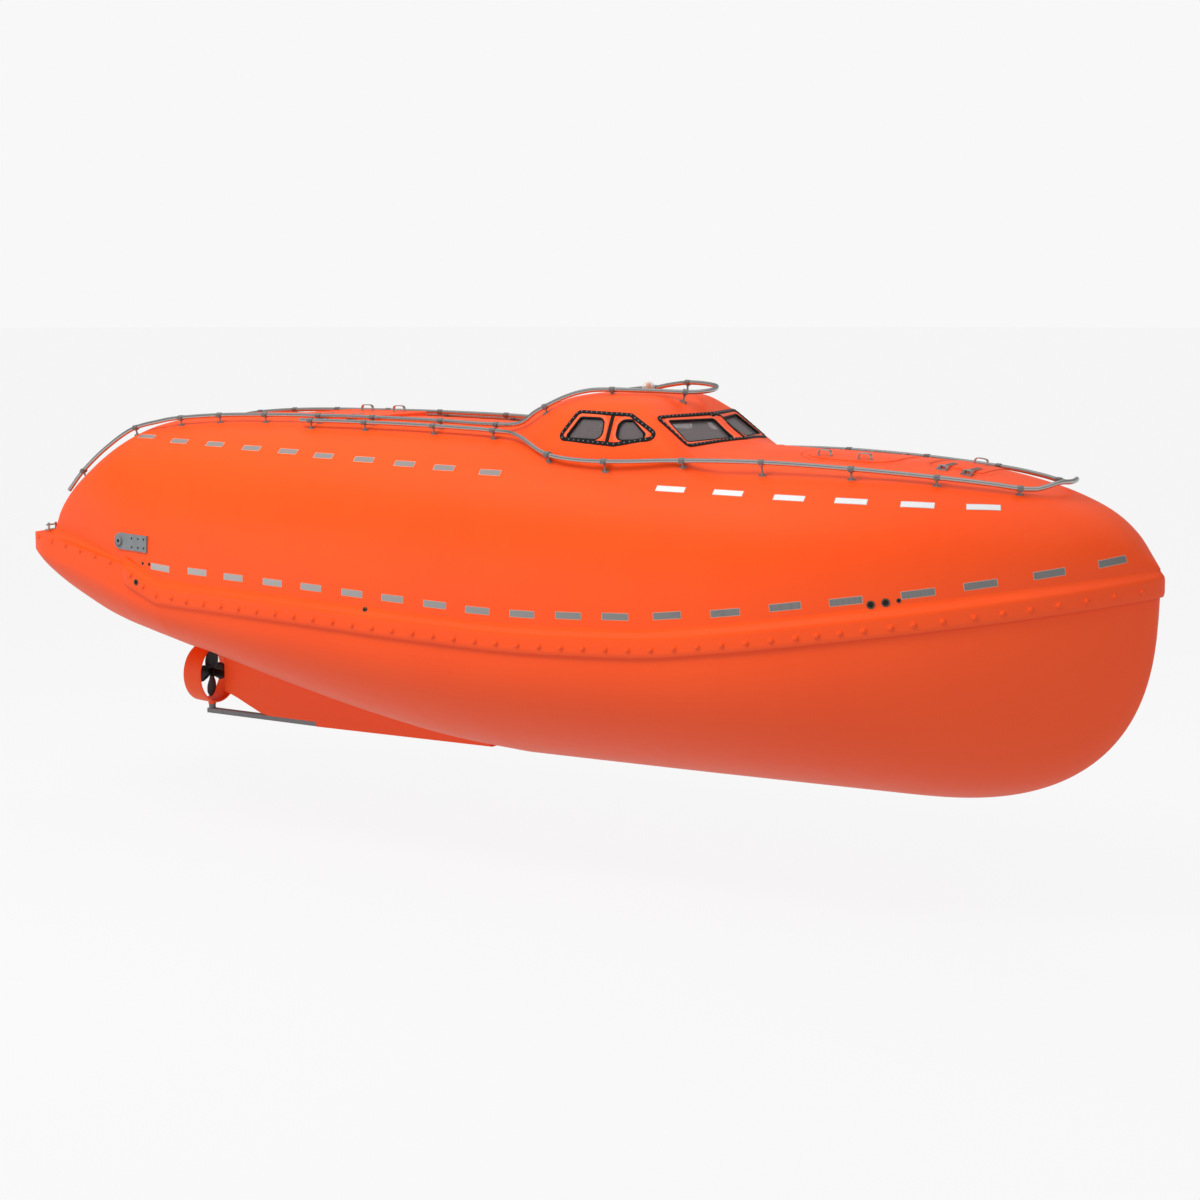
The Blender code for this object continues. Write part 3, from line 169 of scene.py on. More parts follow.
# Retroreflective sheeting: film with sealed cells, grey by day, with a fine honeycomb.
def retroreflective(name, low, high, paintedSternLight=None):
    material, tree, place = newFinish(name, Roughness=0.38, Coat_Weight=0.4)
    cells = addNode(tree, "ShaderNodeTexVoronoi", {"Vector": place, "Scale": 85.0, "Randomness": 0.35},
                    "Distance", feature="DISTANCE_TO_EDGE")             # cells are 4 mm, drawn at 12 mm
    edge = addNode(tree, "ShaderNodeMath", {0: cells, 1: 9.0}, operation="MULTIPLY", use_clamp=True)
    dress(material, (low, high), edge, (0.55, 0.3), None, (0.15, 0.0004))
    if paintedSternLight:                                                           # lighter towards the stern: painted light, the tape's retroreflected glow
        shader = tree.nodes["Principled BSDF"].inputs["Base Color"]
        length = addNode(tree, "ShaderNodeSeparateXYZ", {0: place}, "X")
        aft = addNode(tree, "ShaderNodeMapRange", {"Value": length, "From Min": 2.5, "From Max": -5.0})
        dress(material, (shader.links[0].from_socket, paintedSternLight), aft)
    return material


# Blown polycarbonate bulb cover: amber, glossy, lit a little from inside.
def amberBulb():
    material, tree, place = newFinish("amberBulb", Roughness=0.15, Emission_Strength=0.05,
                                      Emission_Color=hexColour("#FF9A10"))
    ribs = addNode(tree, "ShaderNodeTexWave", {"Vector": place, "Scale": 60.0}, "Fac", bands_direction="Z")
    return dress(material, ("#A86408", "#D9901A"), ribs)


# Zinc-plated screw heads: pale grey with a fine turned grain.
def zincPlated():
    material, tree, place = newFinish("zincPlated", Metallic=1.0, Roughness=0.35)
    grain = addNode(tree, "ShaderNodeTexNoise", {"Vector": place, "Scale": 300.0, "Detail": 2.0})
    return dress(material, ("#A9ABAE", "#CDCFD1"), grain)


# Cast brass skin fittings, gone brown in salt air.
def brassDull():
    material, tree, place = newFinish("brassDull", Metallic=0.6, Roughness=0.5)
    stain = addNode(tree, "ShaderNodeTexNoise", {"Vector": place, "Scale": 120.0, "Detail": 4.0})
    return dress(material, ("#4A4238", "#7A6C5A"), stain)


finish = {
    "orange": gelcoatOrange(),
    "orangeFrame": gelcoatOrange("gelcoatOrangeNew", "#F65A2C", "#FA6538"),
    "steel": stainlessPolished(),
    "cast": castSteelDull(),
    "grey": paintGrey(),
    "rubber": rubberBlack(),
    "glass": acrylicClear(),
    "dome": acrylicClear("acrylicDome", "#E8EEF0", 0.10),
    "inside": flowcoatGrey(),
    "bronze": bronzeBlack(),
    # The third tone is painted light: the tape drawn lighter towards the stern, where it glows back.
    "tapeGrey": retroreflective("retroreflectiveGrey", "#636362", "#757574", "#ACA6A3"),
    "tapeRoof": retroreflective("retroreflectiveRoof", "#7B7370", "#8C8481"),
    "tapeWhite": retroreflective("retroreflectiveWhite", "#C4C6C8", "#E6E7E8"),
    "tapeEdge": retroreflective("retroreflectiveEdge", "#C08A76", "#CF9C88"),
    "amber": amberBulb(),
    "zinc": zincPlated(),
    "brassDull": brassDull(),
}
print("finishes made")


def addPiece(name, mesh, materials, sharp=38, recalc=True):
    if recalc:
        bmesh.ops.recalc_face_normals(mesh, faces=mesh.faces)
    data = bpy.data.meshes.new(name)
    mesh.to_mesh(data)
    mesh.free()
    for material in materials if isinstance(materials, list) else [materials]:
        data.materials.append(material)
    data.shade_smooth()
    data.set_sharp_from_angle(angle=math.radians(sharp))
    piece = bpy.data.objects.new(name, data)
    bpy.context.scene.collection.objects.link(piece)
    return piece


def settle(piece):
    graph = bpy.context.evaluated_depsgraph_get()
    data = bpy.data.meshes.new_from_object(piece.evaluated_get(graph), preserve_all_data_layers=True,
                                           depsgraph=graph)
    piece.modifiers.clear()
    piece.data = data
    data.name = piece.name


def keep(piece, body="boat", stands=()):
    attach(piece, body)
    if stands:
        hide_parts(*stands)
    return piece


def joinRings(mesh, rings, closeAround=True, closeAlong=False, material=0):
    pairs = list(zip(rings, rings[1:])) + ([(rings[-1], rings[0])] if closeAlong else [])
    for one, other in pairs:
        count = max(len(one), len(other))
        for i in range(count if closeAround else count - 1):
            j = (i + 1) % count
            around = [one[i % len(one)], one[j % len(one)], other[j % len(other)], other[i % len(other)]]
            corners = list(dict.fromkeys(around))
            if len(corners) > 2:
                mesh.faces.new(corners).material_index = material


def lathe(mesh, matrix, profile, sides, cap=True):
    rings = []
    for radius, level in profile:
        angles = [0.0] if radius < 1e-6 else [math.tau * k / sides for k in range(sides)]
        rings.append([mesh.verts.new(matrix @ Vector((radius * math.cos(a), radius * math.sin(a), level)))
                      for a in angles])
    joinRings(mesh, rings)
    if cap:
        for ring in (rings[0], rings[-1]):
            if len(ring) > 2:
                mesh.faces.new(ring)


# Closed section of (radius, level) pairs turned right round an axis.
def turnRing(mesh, matrix, section, sides):
    rings = []
    for k in range(sides):
        across, up = math.cos(math.tau * k / sides), math.sin(math.tau * k / sides)
        rings.append([mesh.verts.new(matrix @ Vector((radius * across, radius * up, level)))
                      for radius, level in section])
    joinRings(mesh, rings, closeAlong=True)


# A small turned part. Where its profile stays off the axis, joining its two ends closes the bore.
def turnedPart(name, profile, sides, material, sharp=35, bore=False):
    mesh = bmesh.new()
    lathe(mesh, Matrix.Identity(4), profile, sides, cap=not bore)
    if bore:
        bmesh.ops.bridge_loops(mesh, edges=[e for e in mesh.edges if e.is_boundary])
    return addPiece(name, mesh, finish[material], sharp)


def sweep(mesh, points, normals, section, closed=False):
    rings = []
    count = len(points)
    for i, point in enumerate(points):
        before = points[i - 1] if i or closed else point
        after = points[(i + 1) % count] if i + 1 < count or closed else point
        along = (after - before).normalized()
        side = along.cross(normals[i]).normalized()
        out = side.cross(along)
        rings.append([mesh.verts.new(point + side * s + out * o) for s, o in section])
    joinRings(mesh, rings, closeAlong=closed)
    if not closed:
        mesh.faces.new(rings[0])
        mesh.faces.new(list(reversed(rings[-1])))


def circle(radius, sides, centre=0.0):
    return [(radius * math.cos(math.tau * k / sides), centre + radius * math.sin(math.tau * k / sides))
            for k in range(sides)]


def block(mesh, matrix, low, high, bevel=0.0):
    made = bmesh.ops.create_cube(mesh, size=1.0)["verts"]
    low, high = Vector(low), Vector(high)
    for vert in made:
        vert.co = matrix @ Vector([(l + h) / 2 + v * (h - l) for l, h, v in zip(low, high, vert.co)])
    if bevel:
        edges = {e for v in made for e in v.link_edges}
        bmesh.ops.bevel(mesh, geom=list(edges), offset=bevel, segments=2, affect="EDGES", profile=0.5)


def plate(mesh, matrix, outline, bottom, top):
    lower = [mesh.verts.new(matrix @ Vector((x, y, bottom))) for x, y in outline]
    upper = [mesh.verts.new(matrix @ Vector((x, y, top))) for x, y in outline]
    mesh.faces.new(list(reversed(lower)))
    mesh.faces.new(upper)
    joinRings(mesh, [lower, upper])


def frameAt(origin, along, out):
    out = Vector(out).normalized()
    along = (Vector(along) - out * Vector(along).dot(out)).normalized()
    turn = Matrix((along, out.cross(along), out)).transposed().to_4x4()
    return Matrix.Translation(Vector(origin)) @ turn


def roundedOutline(corners, radii, steps=6):
    points = []
    count = len(corners)
    for i, corner in enumerate(corners):
        radius = radii[i] if isinstance(radii, (list, tuple)) else radii
        corner = Vector(corner)
        before = (Vector(corners[i - 1]) - corner).normalized()
        after = (Vector(corners[(i + 1) % count]) - corner).normalized()
        half = before.angle(after) / 2
        centre = corner + (before + after).normalized() * (radius / math.sin(half))
        start = corner + before * radius / math.tan(half) - centre
        end = corner + after * radius / math.tan(half) - centre
        turn = start.angle_signed(end)
        points += [tuple(centre + Matrix.Rotation(-turn * k / steps, 2) @ start) for k in range(steps + 1)]
    return points


def insetOutline(outline, distance):
    points = [Vector(p) for p in outline]
    area = sum(a.x * b.y - b.x * a.y for a, b in zip(points, points[1:] + points[:1]))
    way = 1 if area > 0 else -1
    moved = []
    for i, point in enumerate(points):
        before = (point - points[i - 1]).normalized()
        after = (points[(i + 1) % len(points)] - point).normalized()
        normals = [Vector((-d.y, d.x)) * way for d in (before, after)]
        middle = (normals[0] + normals[1]).normalized()
        moved.append(tuple(point + middle * (distance / middle.dot(normals[0]))))
    return moved


def denser(points, gap, closed=True):
    points = [Vector(p) for p in points]
    path = []
    for a, b in zip(points, points[1:] + (points[:1] if closed else [])):
        parts = max(1, round((b - a).length / gap))
        path += [a.lerp(b, k / parts) for k in range(parts)]
    return path if closed else path + [points[-1]]


def smoothPath(points, gap):
    points = [Vector(p) for p in points]
    ends = [points[0] * 2 - points[1]] + points + [points[-1] * 2 - points[-2]]
    path = []
    for a, b, c, d in zip(ends, ends[1:], ends[2:], ends[3:]):
        parts = max(1, round((c - b).length / gap))
        for k in range(parts):
            t = k / parts
            path.append(0.5 * (2 * b + (c - a) * t + (2 * a - 5 * b + 4 * c - d) * t * t
                               + (3 * b - a - 3 * c + d) * t ** 3))
    return path + [points[-1]]


# Geometry Nodes tree that sets one part on every point, standing along "outward" and turned to "along".
def scatterTree():
    tree = bpy.data.node_groups.new("setParts", "GeometryNodeTree")
    for label, kind in (("Geometry", "Geometry"), ("Part", "Object"), ("Surface", "Object"),
                        ("Lay on surface", "Bool"), ("Lift", "Float"), ("Finish", "Material")):
        tree.interface.new_socket(name=label, in_out="INPUT", socket_type="NodeSocket" + kind)
    tree.interface.new_socket(name="Geometry", in_out="OUTPUT", socket_type="NodeSocketGeometry")
    given = tree.nodes.new("NodeGroupInput").outputs
    ready = tree.nodes.new("NodeGroupOutput").inputs[0]
    outward, along, stretch, ownLevel = (
        addNode(tree, "GeometryNodeInputNamedAttribute", {"Name": name}, "Attribute", data_type=kind)
        for name, kind in (("outward", "FLOAT_VECTOR"), ("along", "FLOAT_VECTOR"), ("stretch", "FLOAT_VECTOR"),
                           ("level", "FLOAT")))
    part = addNode(tree, "GeometryNodeObjectInfo", {"Object": given["Part"]}, "Geometry")
    standing = addNode(tree, "FunctionNodeAlignRotationToVector", {"Vector": outward}, axis="Z")
    turned = addNode(tree, "FunctionNodeAlignRotationToVector", {"Rotation": standing, "Vector": along},
                     axis="X", pivot_axis="Z")
    spots = addNode(tree, "GeometryNodeInstanceOnPoints",
                    {"Points": given["Geometry"], "Instance": part, "Rotation": turned, "Scale": stretch})
    real = addNode(tree, "GeometryNodeRealizeInstances", {"Geometry": spots})
    # Pressing the parts down on the surface: each point is cast inwards and keeps its own level above it.
    surface = addNode(tree, "GeometryNodeObjectInfo", {"Object": given["Surface"]}, "Geometry")
    place = addNode(tree, "GeometryNodeInputPosition")
    back = addNode(tree, "ShaderNodeVectorMath", {0: outward, "Scale": 0.12}, operation="SCALE")
    source = addNode(tree, "ShaderNodeVectorMath", {0: place, 1: back}, operation="ADD")
    inward = addNode(tree, "ShaderNodeVectorMath", {0: outward, "Scale": -1.0}, operation="SCALE")
    isHit = addNode(tree, "GeometryNodeRaycast", {"Target Geometry": surface, "Source Position": source,
                                                  "Ray Direction": inward, "Ray Length": 0.5}, "Is Hit")
    hit = isHit.node.outputs
    level = addNode(tree, "ShaderNodeMath", {0: ownLevel, 1: given["Lift"]}, operation="ADD")
    raised = addNode(tree, "ShaderNodeVectorMath", {0: hit["Hit Normal"], "Scale": level}, operation="SCALE")
    target = addNode(tree, "ShaderNodeVectorMath", {0: hit["Hit Position"], 1: raised}, operation="ADD")
    pressed = addNode(tree, "FunctionNodeBooleanMath", {0: isHit, 1: given["Lay on surface"]}, operation="AND")
    laid = addNode(tree, "GeometryNodeSetPosition",
                   {"Geometry": real, "Selection": pressed, "Position": target})
    addNode(tree, "GeometryNodeSetMaterial", {"Geometry": laid, "Material": given["Finish"]}, feeds=ready)
    return tree


setParts = scatterTree()
sockets = {item.name: item.identifier for item in setParts.interface.items_tree if item.in_out == "INPUT"}


# Spots: (place, outward, along, stretch) for each part.
def scatter(name, part, spots, material, surface=None, lift=0.0):
    data = bpy.data.meshes.new(name)
    data.from_pydata([tuple(s[0]) for s in spots], [], [])
    for k, label in enumerate(("outward", "along", "stretch")):
        values = [s[k + 1] if len(s) > k + 1 else (1, 1, 1) for s in spots]
        stored = data.attributes.new(label, "FLOAT_VECTOR", "POINT")
        stored.data.foreach_set("vector", np.array([tuple(v) for v in values], np.float32).ravel())
    piece = bpy.data.objects.new(name, data)
    bpy.context.scene.collection.objects.link(piece)
    change = piece.modifiers.new("setParts", "NODES")
    change.node_group = setParts
    change[sockets["Part"]] = part
    change[sockets["Surface"]] = surface
    change[sockets["Lay on surface"]] = surface is not None
    change[sockets["Lift"]] = lift
    change[sockets["Finish"]] = material
    settle(piece)
    return piece


def dropPart(part):
    bpy.data.objects.remove(part)


# Lines of the boat: the same curves as the CAD model, heights above the keel lowered to the waterline frame.
lines = {
    "draft": 0.95,
    "halfBeam": 3.57 / 2 - 0.064,
    "bow": 13.5 / 2 - 0.05,
    "stern": -6.75,
    "vee": 0.17,             # share of the depth by which the bottom falls straight to the keel
    "hullInside": (-6.55, 6.5),
    "canopyInside": (-6.3, 6.5),
    "seam": [(-6.75, 2.15), (-5.98, 2.067), (-5.2, 1.93), (-5.0, 1.89), (-4.45, 1.685), (-3.7, 1.665),
             (-2.5, 1.625), (-1.0, 1.555), (0.3, 1.52), (1.8, 1.567), (2.75, 1.68), (3.7, 1.825),
             (5.8, 2.16), (6.75, 2.32)],
    "keel": [(-6.75, 2.0), (-6.66, 1.74), (-6.5, 1.5), (-6.2, 1.28), (-5.6, 1.03), (-5.0, 0.93), (-4.3, 0.80),
             (-3.2, 0.50), (-2.0, 0.22), (-1.0, 0.06), (-0.2, 0.0)],
    "roof": [(-6.75, 2.27), (-6.54, 2.27), (-6.5, 2.42), (-6.41, 2.66), (-6.25, 2.86), (-5.98, 3.10),
             (-5.7, 3.32), (-5.45, 3.48), (-5.2, 3.59), (-4.8, 3.665), (-3.8, 3.71), (-2.0, 3.71), (0.0, 3.66),
             (2.4, 3.53), (3.6, 3.475), (4.5, 3.43), (5.1, 3.34), (5.6, 3.225), (6.0, 3.085), (6.22, 2.97),
             (6.43, 2.80), (6.6, 2.59), (6.75, 2.42)],
    "forefoot": (4.1, 2.2, 2.62),
    "wall": 0.06,
}
draft = lines["draft"]


def straightLine(points, x):
    return float(np.interp(x, [p[0] for p in points], [p[1] for p in points]))


def smoothLine(points, x):
    if x <= points[0][0]:
        return points[0][1]
    if x >= points[-1][0]:
        return points[-1][1]
    steps = [(b[1] - a[1]) / (b[0] - a[0]) for a, b in zip(points, points[1:])]
    slopes = [steps[0]]
    for before, after in zip(steps, steps[1:]):
        together = before * after
        slopes.append(2 * together / (before + after) if together > 0 else 0.0)
    slopes.append(steps[-1])
    for i, (a, b) in enumerate(zip(points, points[1:])):
        if x <= b[0]:
            run = b[0] - a[0]
            t = (x - a[0]) / run
            return ((1 + 2 * t) * (1 - t) ** 2 * a[1] + t * t * (3 - 2 * t) * b[1]
                    + run * t * (1 - t) * ((1 - t) * slopes[i] - t * slopes[i + 1]))
    return points[-1][1]


def halfBreadth(x):
    if x >= 2.0:
        t = min(1.0, (x - 2.0) / (lines["bow"] - 2.0))
        return lines["halfBeam"] * (1 - t ** 2.6) ** 0.75
    if x > -2.0:
        return lines["halfBeam"]
    breadth = lines["halfBeam"] * math.sqrt(1 - ((-2.0 - x) / 6.5) ** 2)
    return breadth - 0.06 * max(0.0, (-6.4 - x) / 0.35) ** 3


def seamHeight(x):
    points = lines["seam"]
    return (straightLine(points, x) if x < -4.0 else smoothLine(points, x)) - draft


def keelHeight(x):
    start, height, power = lines["forefoot"]
    if x < start:
        return smoothLine(lines["keel"], x) - draft
    t = min(1.0, (x - start) / (lines["bow"] - 0.01 - start))
    return height * (1 - (1 - t ** power) ** (1 / power)) - draft


def roofHeight(x):
    return smoothLine(lines["roof"], x) - draft


def hullRib(x, wall=0.0, count=34):
    breadth = max(0.004, halfBreadth(x) - wall)
    top = seamHeight(x)
    side = 0.105 + 0.085 * max(0.0, 1 - abs(x + 5.0) / 0.6)
    keel = keelHeight(x) + wall
    knuckle = max(keel + 0.02, top - side)
    power = 2.25 - 0.35 * max(0.0, min(1.0, (x - 3.5) / 3.0)) - 0.25 * max(0.0, min(1.0, (-x - 4.5) / 2))
    depth = knuckle - keel
    vee = lines["vee"]
    rib = [(breadth, top)]
    for i in range(count + 1):
        angle = math.pi / 2 * i / count
        y = breadth * max(0.0, math.cos(angle)) ** (2 / power) if i < count else 0.0
        drop = depth * max(0.0, math.sin(angle)) ** (2 / power)
        rib.append((y, knuckle - (1 - vee) * drop - vee * depth * (1 - y / breadth)))
    return rib


# Canopy rib: a ledge at the seam, then a superellipse from the ledge to the crown.
canopyShape = {
    "ledgeHeight": 0.105,
    "ledge": 0.02,
    "sternLedge": 0.2,       # how much wider the ledge is at the stern
    "power": 2.6,
    "sternPower": 2.0,       # how much squarer the rib is at the stern
    "split": 0.78,           # share of the breadth where the side's points end and the roof's begin
}
# Heights up the side and places across the roof at which a rib has its points.
sideSteps = [0.0, 0.006, 0.014, 0.024, 0.036, 0.05, 0.07, 0.1, 0.14, 0.19, 0.25, 0.32, 0.4, 0.48, 0.56, 0.63,
             0.7, 0.76, 0.81, 0.86, 0.9, 0.94, 0.97]
roofSteps = [canopyShape["split"] * (1 - k / 52) for k in range(53)]


def canopyRib(x, wall=0.0):
    rim = max(0.004, halfBreadth(x) - wall)
    seam = seamHeight(x)
    rimTop = seam + canopyShape["ledgeHeight"] - 0.005 * (x < -5)
    inset = canopyShape["ledge"] + canopyShape["sternLedge"] * max(0.0, min(1.0, (-4.6 - x) / 1.9)) ** 1.5
    side = max(0.003, min(rim - 0.001, halfBreadth(x) - inset - wall))
    crown = max(rimTop + 0.012, roofHeight(x) - wall)
    shoulder = rimTop + 0.006
    power = canopyShape["power"] + canopyShape["sternPower"] * max(0.0, min(1.0, (-5.0 - x) / 1.2))
    height = crown - shoulder
    switch = (1 - canopyShape["split"] ** power) ** (1 / power)
    fillet = min(0.5 * inset, 0.45 * height) if not wall else 0.0
    rib = [(rim, seam), (rim, rimTop)]
    for step in sideSteps:
        up = step * switch
        y = side * (1 - up ** power) ** (1 / power)
        rise = height * up
        if fillet > 0.012 and rise < fillet:
            y += 0.8 * fillet * (1 - rise / fillet) ** 2
        rib.append((min(y, rim - 0.0005), shoulder + rise))
    for across in roofSteps:
        rib.append((side * across, shoulder + height * (1 - across ** power) ** (1 / power)))
    return rib


def finePlaces(last):
    places = []
    for start, end, gap in ((lines["stern"], -6.2, 0.025), (-6.2, -4.2, 0.05), (-4.2, -1.6, 0.08),
                            (-1.6, 3.2, 0.025)):
        places += list(np.arange(start, end, gap))
    start = math.degrees(math.asin((3.2 - 2.0) / (lines["bow"] - 2.0)))
    places += [2.0 + (lines["bow"] - 2.0) * math.sin(math.radians(a)) for a in np.linspace(start, 88, 54)]
    return [x for x in places if x < last - 0.006] + [last]


# Closed shell from outer and inner rings, each from the starboard seam round to the port seam.
def shell(mesh, outer, inner, insideMaterial):
    rows = [[[mesh.verts.new(p) for p in ring] for ring in rings] for rings in (outer, inner)]
    for k, rings in enumerate(rows):
        joinRings(mesh, rings, closeAround=False, material=(0, insideMaterial)[k])
        for ring in (rings[0], rings[-1]):
            mesh.faces.new(ring).material_index = (0, insideMaterial)[k]
    for end in (0, -1):                                        # rims along both sides
        joinRings(mesh, [[r[end] for r in rows[0]], [r[end] for r in rows[1]]], closeAround=False)
    for row in (0, -1):                                        # rims at stern and bow
        a, b = rows[0][row], rows[1][row]
        mesh.faces.new((a[0], a[-1], b[-1], b[0]))


def mirroredRing(x, rib):
    return [Vector((x, -y, z)) for y, z in rib] + [Vector((x, y, z)) for y, z in reversed(rib[:-1])]


def makeHull():
    places = finePlaces(lines["bow"] - 0.004)
    coarse = [x for k, x in enumerate(places) if not (-4.0 < x < 3.2) or k % 4 == 0]
    first, last = coarse[0], coarse[-1]
    aft, fore = lines["hullInside"]
    outer, inner = [], []
    for x in coarse:
        outer.append(mirroredRing(x, hullRib(x)))
        xi = aft + (x - first) / (last - first) * (fore - aft)
        inner.append(mirroredRing(xi, hullRib(xi, lines["wall"], 10)))
    mesh = bmesh.new()
    shell(mesh, outer, inner, 1)
    return addPiece("hull_moulding", mesh, [finish["orange"], finish["inside"]], 30)


# Wheelhouse: outlines at rising heights above the keel, one half from the bow to the stern.
wheelhouse = {
    "levels": [
        (2.90, [(3.125, 0.0), (2.841, 1.15), (2.70, 1.24), (2.48, 1.30), (0.20, 1.30), (-0.69, 1.12),
                (-1.595, 0.50), (-1.595, 0.0)]),
        (3.50, [(2.33, 0.0), (2.088, 1.001), (2.0, 1.07), (1.90, 1.10), (0.50, 1.10), (-0.05, 0.87),
                (-0.62, 0.40), (-0.62, 0.0)]),
        (3.90, [(1.80, 0.0), (1.587, 0.88), (1.50, 0.897), (1.42, 0.90), (0.70, 0.90), (0.38, 0.70),
                (0.03, 0.33), (0.03, 0.0)]),
        (4.00, [(1.70, 0.0), (1.52, 0.66), (1.43, 0.72), (1.35, 0.74), (0.78, 0.74), (0.56, 0.56),
                (0.28, 0.28), (0.28, 0.0)]),
        (4.05, [(1.52, 0.0), (1.38, 0.42), (1.30, 0.49), (1.22, 0.51), (0.92, 0.51), (0.76, 0.40),
                (0.60, 0.2), (0.60, 0.0)]),
    ],
    "wall": 0.05,
    "fillet": 0.16,
    "edge": 0.022,           # how far the blur rounds the edges of the walls
    "domeEdge": 0.07,        # and those of the roof
    "roofFrom": 3.84,        # height from which the roof's blur takes over, and over what rise
    "roofOver": 0.1,
    "cell": 0.02,
    "along": (-1.8, 3.4),
    "across": (0.0, 1.52),
}


def blurred(field, radius):
    cells = int(math.ceil(3 * radius / wheelhouse["cell"]))
    weights = np.exp(-0.5 * (np.arange(-cells, cells + 1) * wheelhouse["cell"] / radius) ** 2)
    weights /= weights.sum()
    for axis in (0, 1):
        padded = np.pad(field, [(cells, cells) if a == axis else (0, 0) for a in (0, 1)], mode="edge")
        field = np.apply_along_axis(lambda line: np.convolve(line, weights, mode="valid"), axis, padded)
    return field


# Height of the wheelhouse over a grid of the deck, its edges rounded.
def wheelhouseField():
    mesh = bmesh.new()
    rings = []
    for height, half in wheelhouse["levels"]:
        full = [(x, -y) for x, y in half] + [(x, y) for x, y in reversed(half[1:-1])]
        rings.append([mesh.verts.new((x, y, height - draft)) for x, y in full])
    joinRings(mesh, rings)
    mesh.faces.new(rings[-1])
    tree = BVHTree.FromBMesh(mesh)
    mesh.free()
    xs = np.arange(*wheelhouse["along"], wheelhouse["cell"])
    ys = np.arange(*wheelhouse["across"], wheelhouse["cell"])
    half = np.full((len(xs), len(ys)), wheelhouse["levels"][0][0] - draft)
    for i, x in enumerate(xs):
        for j, y in enumerate(ys):
            hit = tree.ray_cast(Vector((x, y, 6)), Vector((0, 0, -1)))[0]
            if hit:
                half[i, j] = hit.z
    whole = np.concatenate([half[:, :0:-1], half], axis=1)
    walls, dome = blurred(whole, wheelhouse["edge"]), blurred(whole, wheelhouse["domeEdge"])
    share = np.clip((whole - (wheelhouse["roofFrom"] - draft)) / wheelhouse["roofOver"], 0, 1)
    share = blurred(share * share * (3 - 2 * share), 0.03)
    whole = walls * (1 - share) + dome * share
    return xs, np.concatenate([-ys[:0:-1], ys]), whole


fieldX, fieldY, fieldZ = wheelhouseField()
slopeX, slopeY = np.gradient(fieldZ, wheelhouse["cell"])
fieldInside = fieldZ - wheelhouse["wall"] * np.sqrt(1 + slopeX ** 2 + slopeY ** 2)


# A height read between the cells; off the grid it lies far below the boat.
def readField(field, x, y):
    i = (x - fieldX[0]) / wheelhouse["cell"]
    j = (y - fieldY[0]) / wheelhouse["cell"]
    if not (0 <= i < len(fieldX) - 1.001 and 0 <= j < len(fieldY) - 1.001):
        return -9.0
    a, b = int(i), int(j)
    u, v = i - a, j - b
    return ((1 - u) * ((1 - v) * field[a, b] + v * field[a, b + 1])
            + u * ((1 - v) * field[a + 1, b] + v * field[a + 1, b + 1]))


# Canopy height with the wheelhouse blended in by a fillet.
def overDeck(x, y, z):
    up = readField(fieldZ, x, y)
    near = max(wheelhouse["fillet"] - abs(z - up), 0.0) / wheelhouse["fillet"]
    return max(z, up) + near * near * wheelhouse["fillet"] / 4


def makeCanopy():
    places = finePlaces(lines["bow"] - 0.004)
    first, last = places[0], places[-1]
    aft, fore = lines["canopyInside"]
    outer, inner = [], []
    firstRoof = 2 + len(sideSteps)
    for x in places:
        rib = canopyRib(x)
        ring = [(y, overDeck(x, y, z) if k >= firstRoof else z) for k, (y, z) in enumerate(rib)]
        outer.append(mirroredRing(x, ring))
        xi = aft + (x - first) / (last - first) * (fore - aft)
        rib = canopyRib(xi, lines["wall"])
        rib = [(rib[2][0], rib[0][1])] + rib[2:firstRoof:4] + rib[firstRoof::4]
        if rib[-1][0] > 0:
            rib.append((0.0, rib[-1][1]))
        ring = [(y, max(z, readField(fieldInside, xi, y)) if y < 1.3 else z) for y, z in rib]
        inner.append(mirroredRing(xi, ring))
    mesh = bmesh.new()
    shell(mesh, outer, inner, 1)
    bmesh.ops.triangulate(mesh, faces=[f for f in mesh.faces if len(f.verts) > 4])
    # Its third finish, black, is painted shade in the pane openings' reveals, brought in by the cutters.
    return addPiece("canopy_moulding", mesh, [finish["orange"], finish["inside"], finish["rubber"]], 42)


hull = makeHull()
canopy = makeCanopy()
print("hull and canopy shells", len(hull.data.polygons), len(canopy.data.polygons))


# Band round the joint between hull and canopy.
fender = {
    "aftEnd": -5.0,
    "height": 0.21,
    "section": [(0.0006, -0.5), (0.022, -0.5), (0.030, -0.49), (0.036, -0.43), (0.0415, -0.32), (0.0425, -0.26),
                (0.0425, -0.1), (0.0422, 0.1), (0.0415, 0.28), (0.040, 0.35), (0.037, 0.41), (0.033, 0.46),
                (0.026, 0.51), (0.018, 0.56), (0.007, 0.625), (-0.004, 0.70), (-0.013, 0.79), (-0.019, 0.90),
                (-0.026, 0.90), (-0.026, 0.5), (0.0006, 0.49)],
}


def offsetSide(x, distance):
    step = 0.002
    ahead = min(x + step, lines["bow"] - 1e-4)
    behind = x - step
    along = Vector((ahead - behind, -(halfBreadth(ahead) - halfBreadth(behind)), 0)).normalized()
    return Vector((x, -halfBreadth(x), 0)) + Vector((along.y, -along.x, 0)) * distance


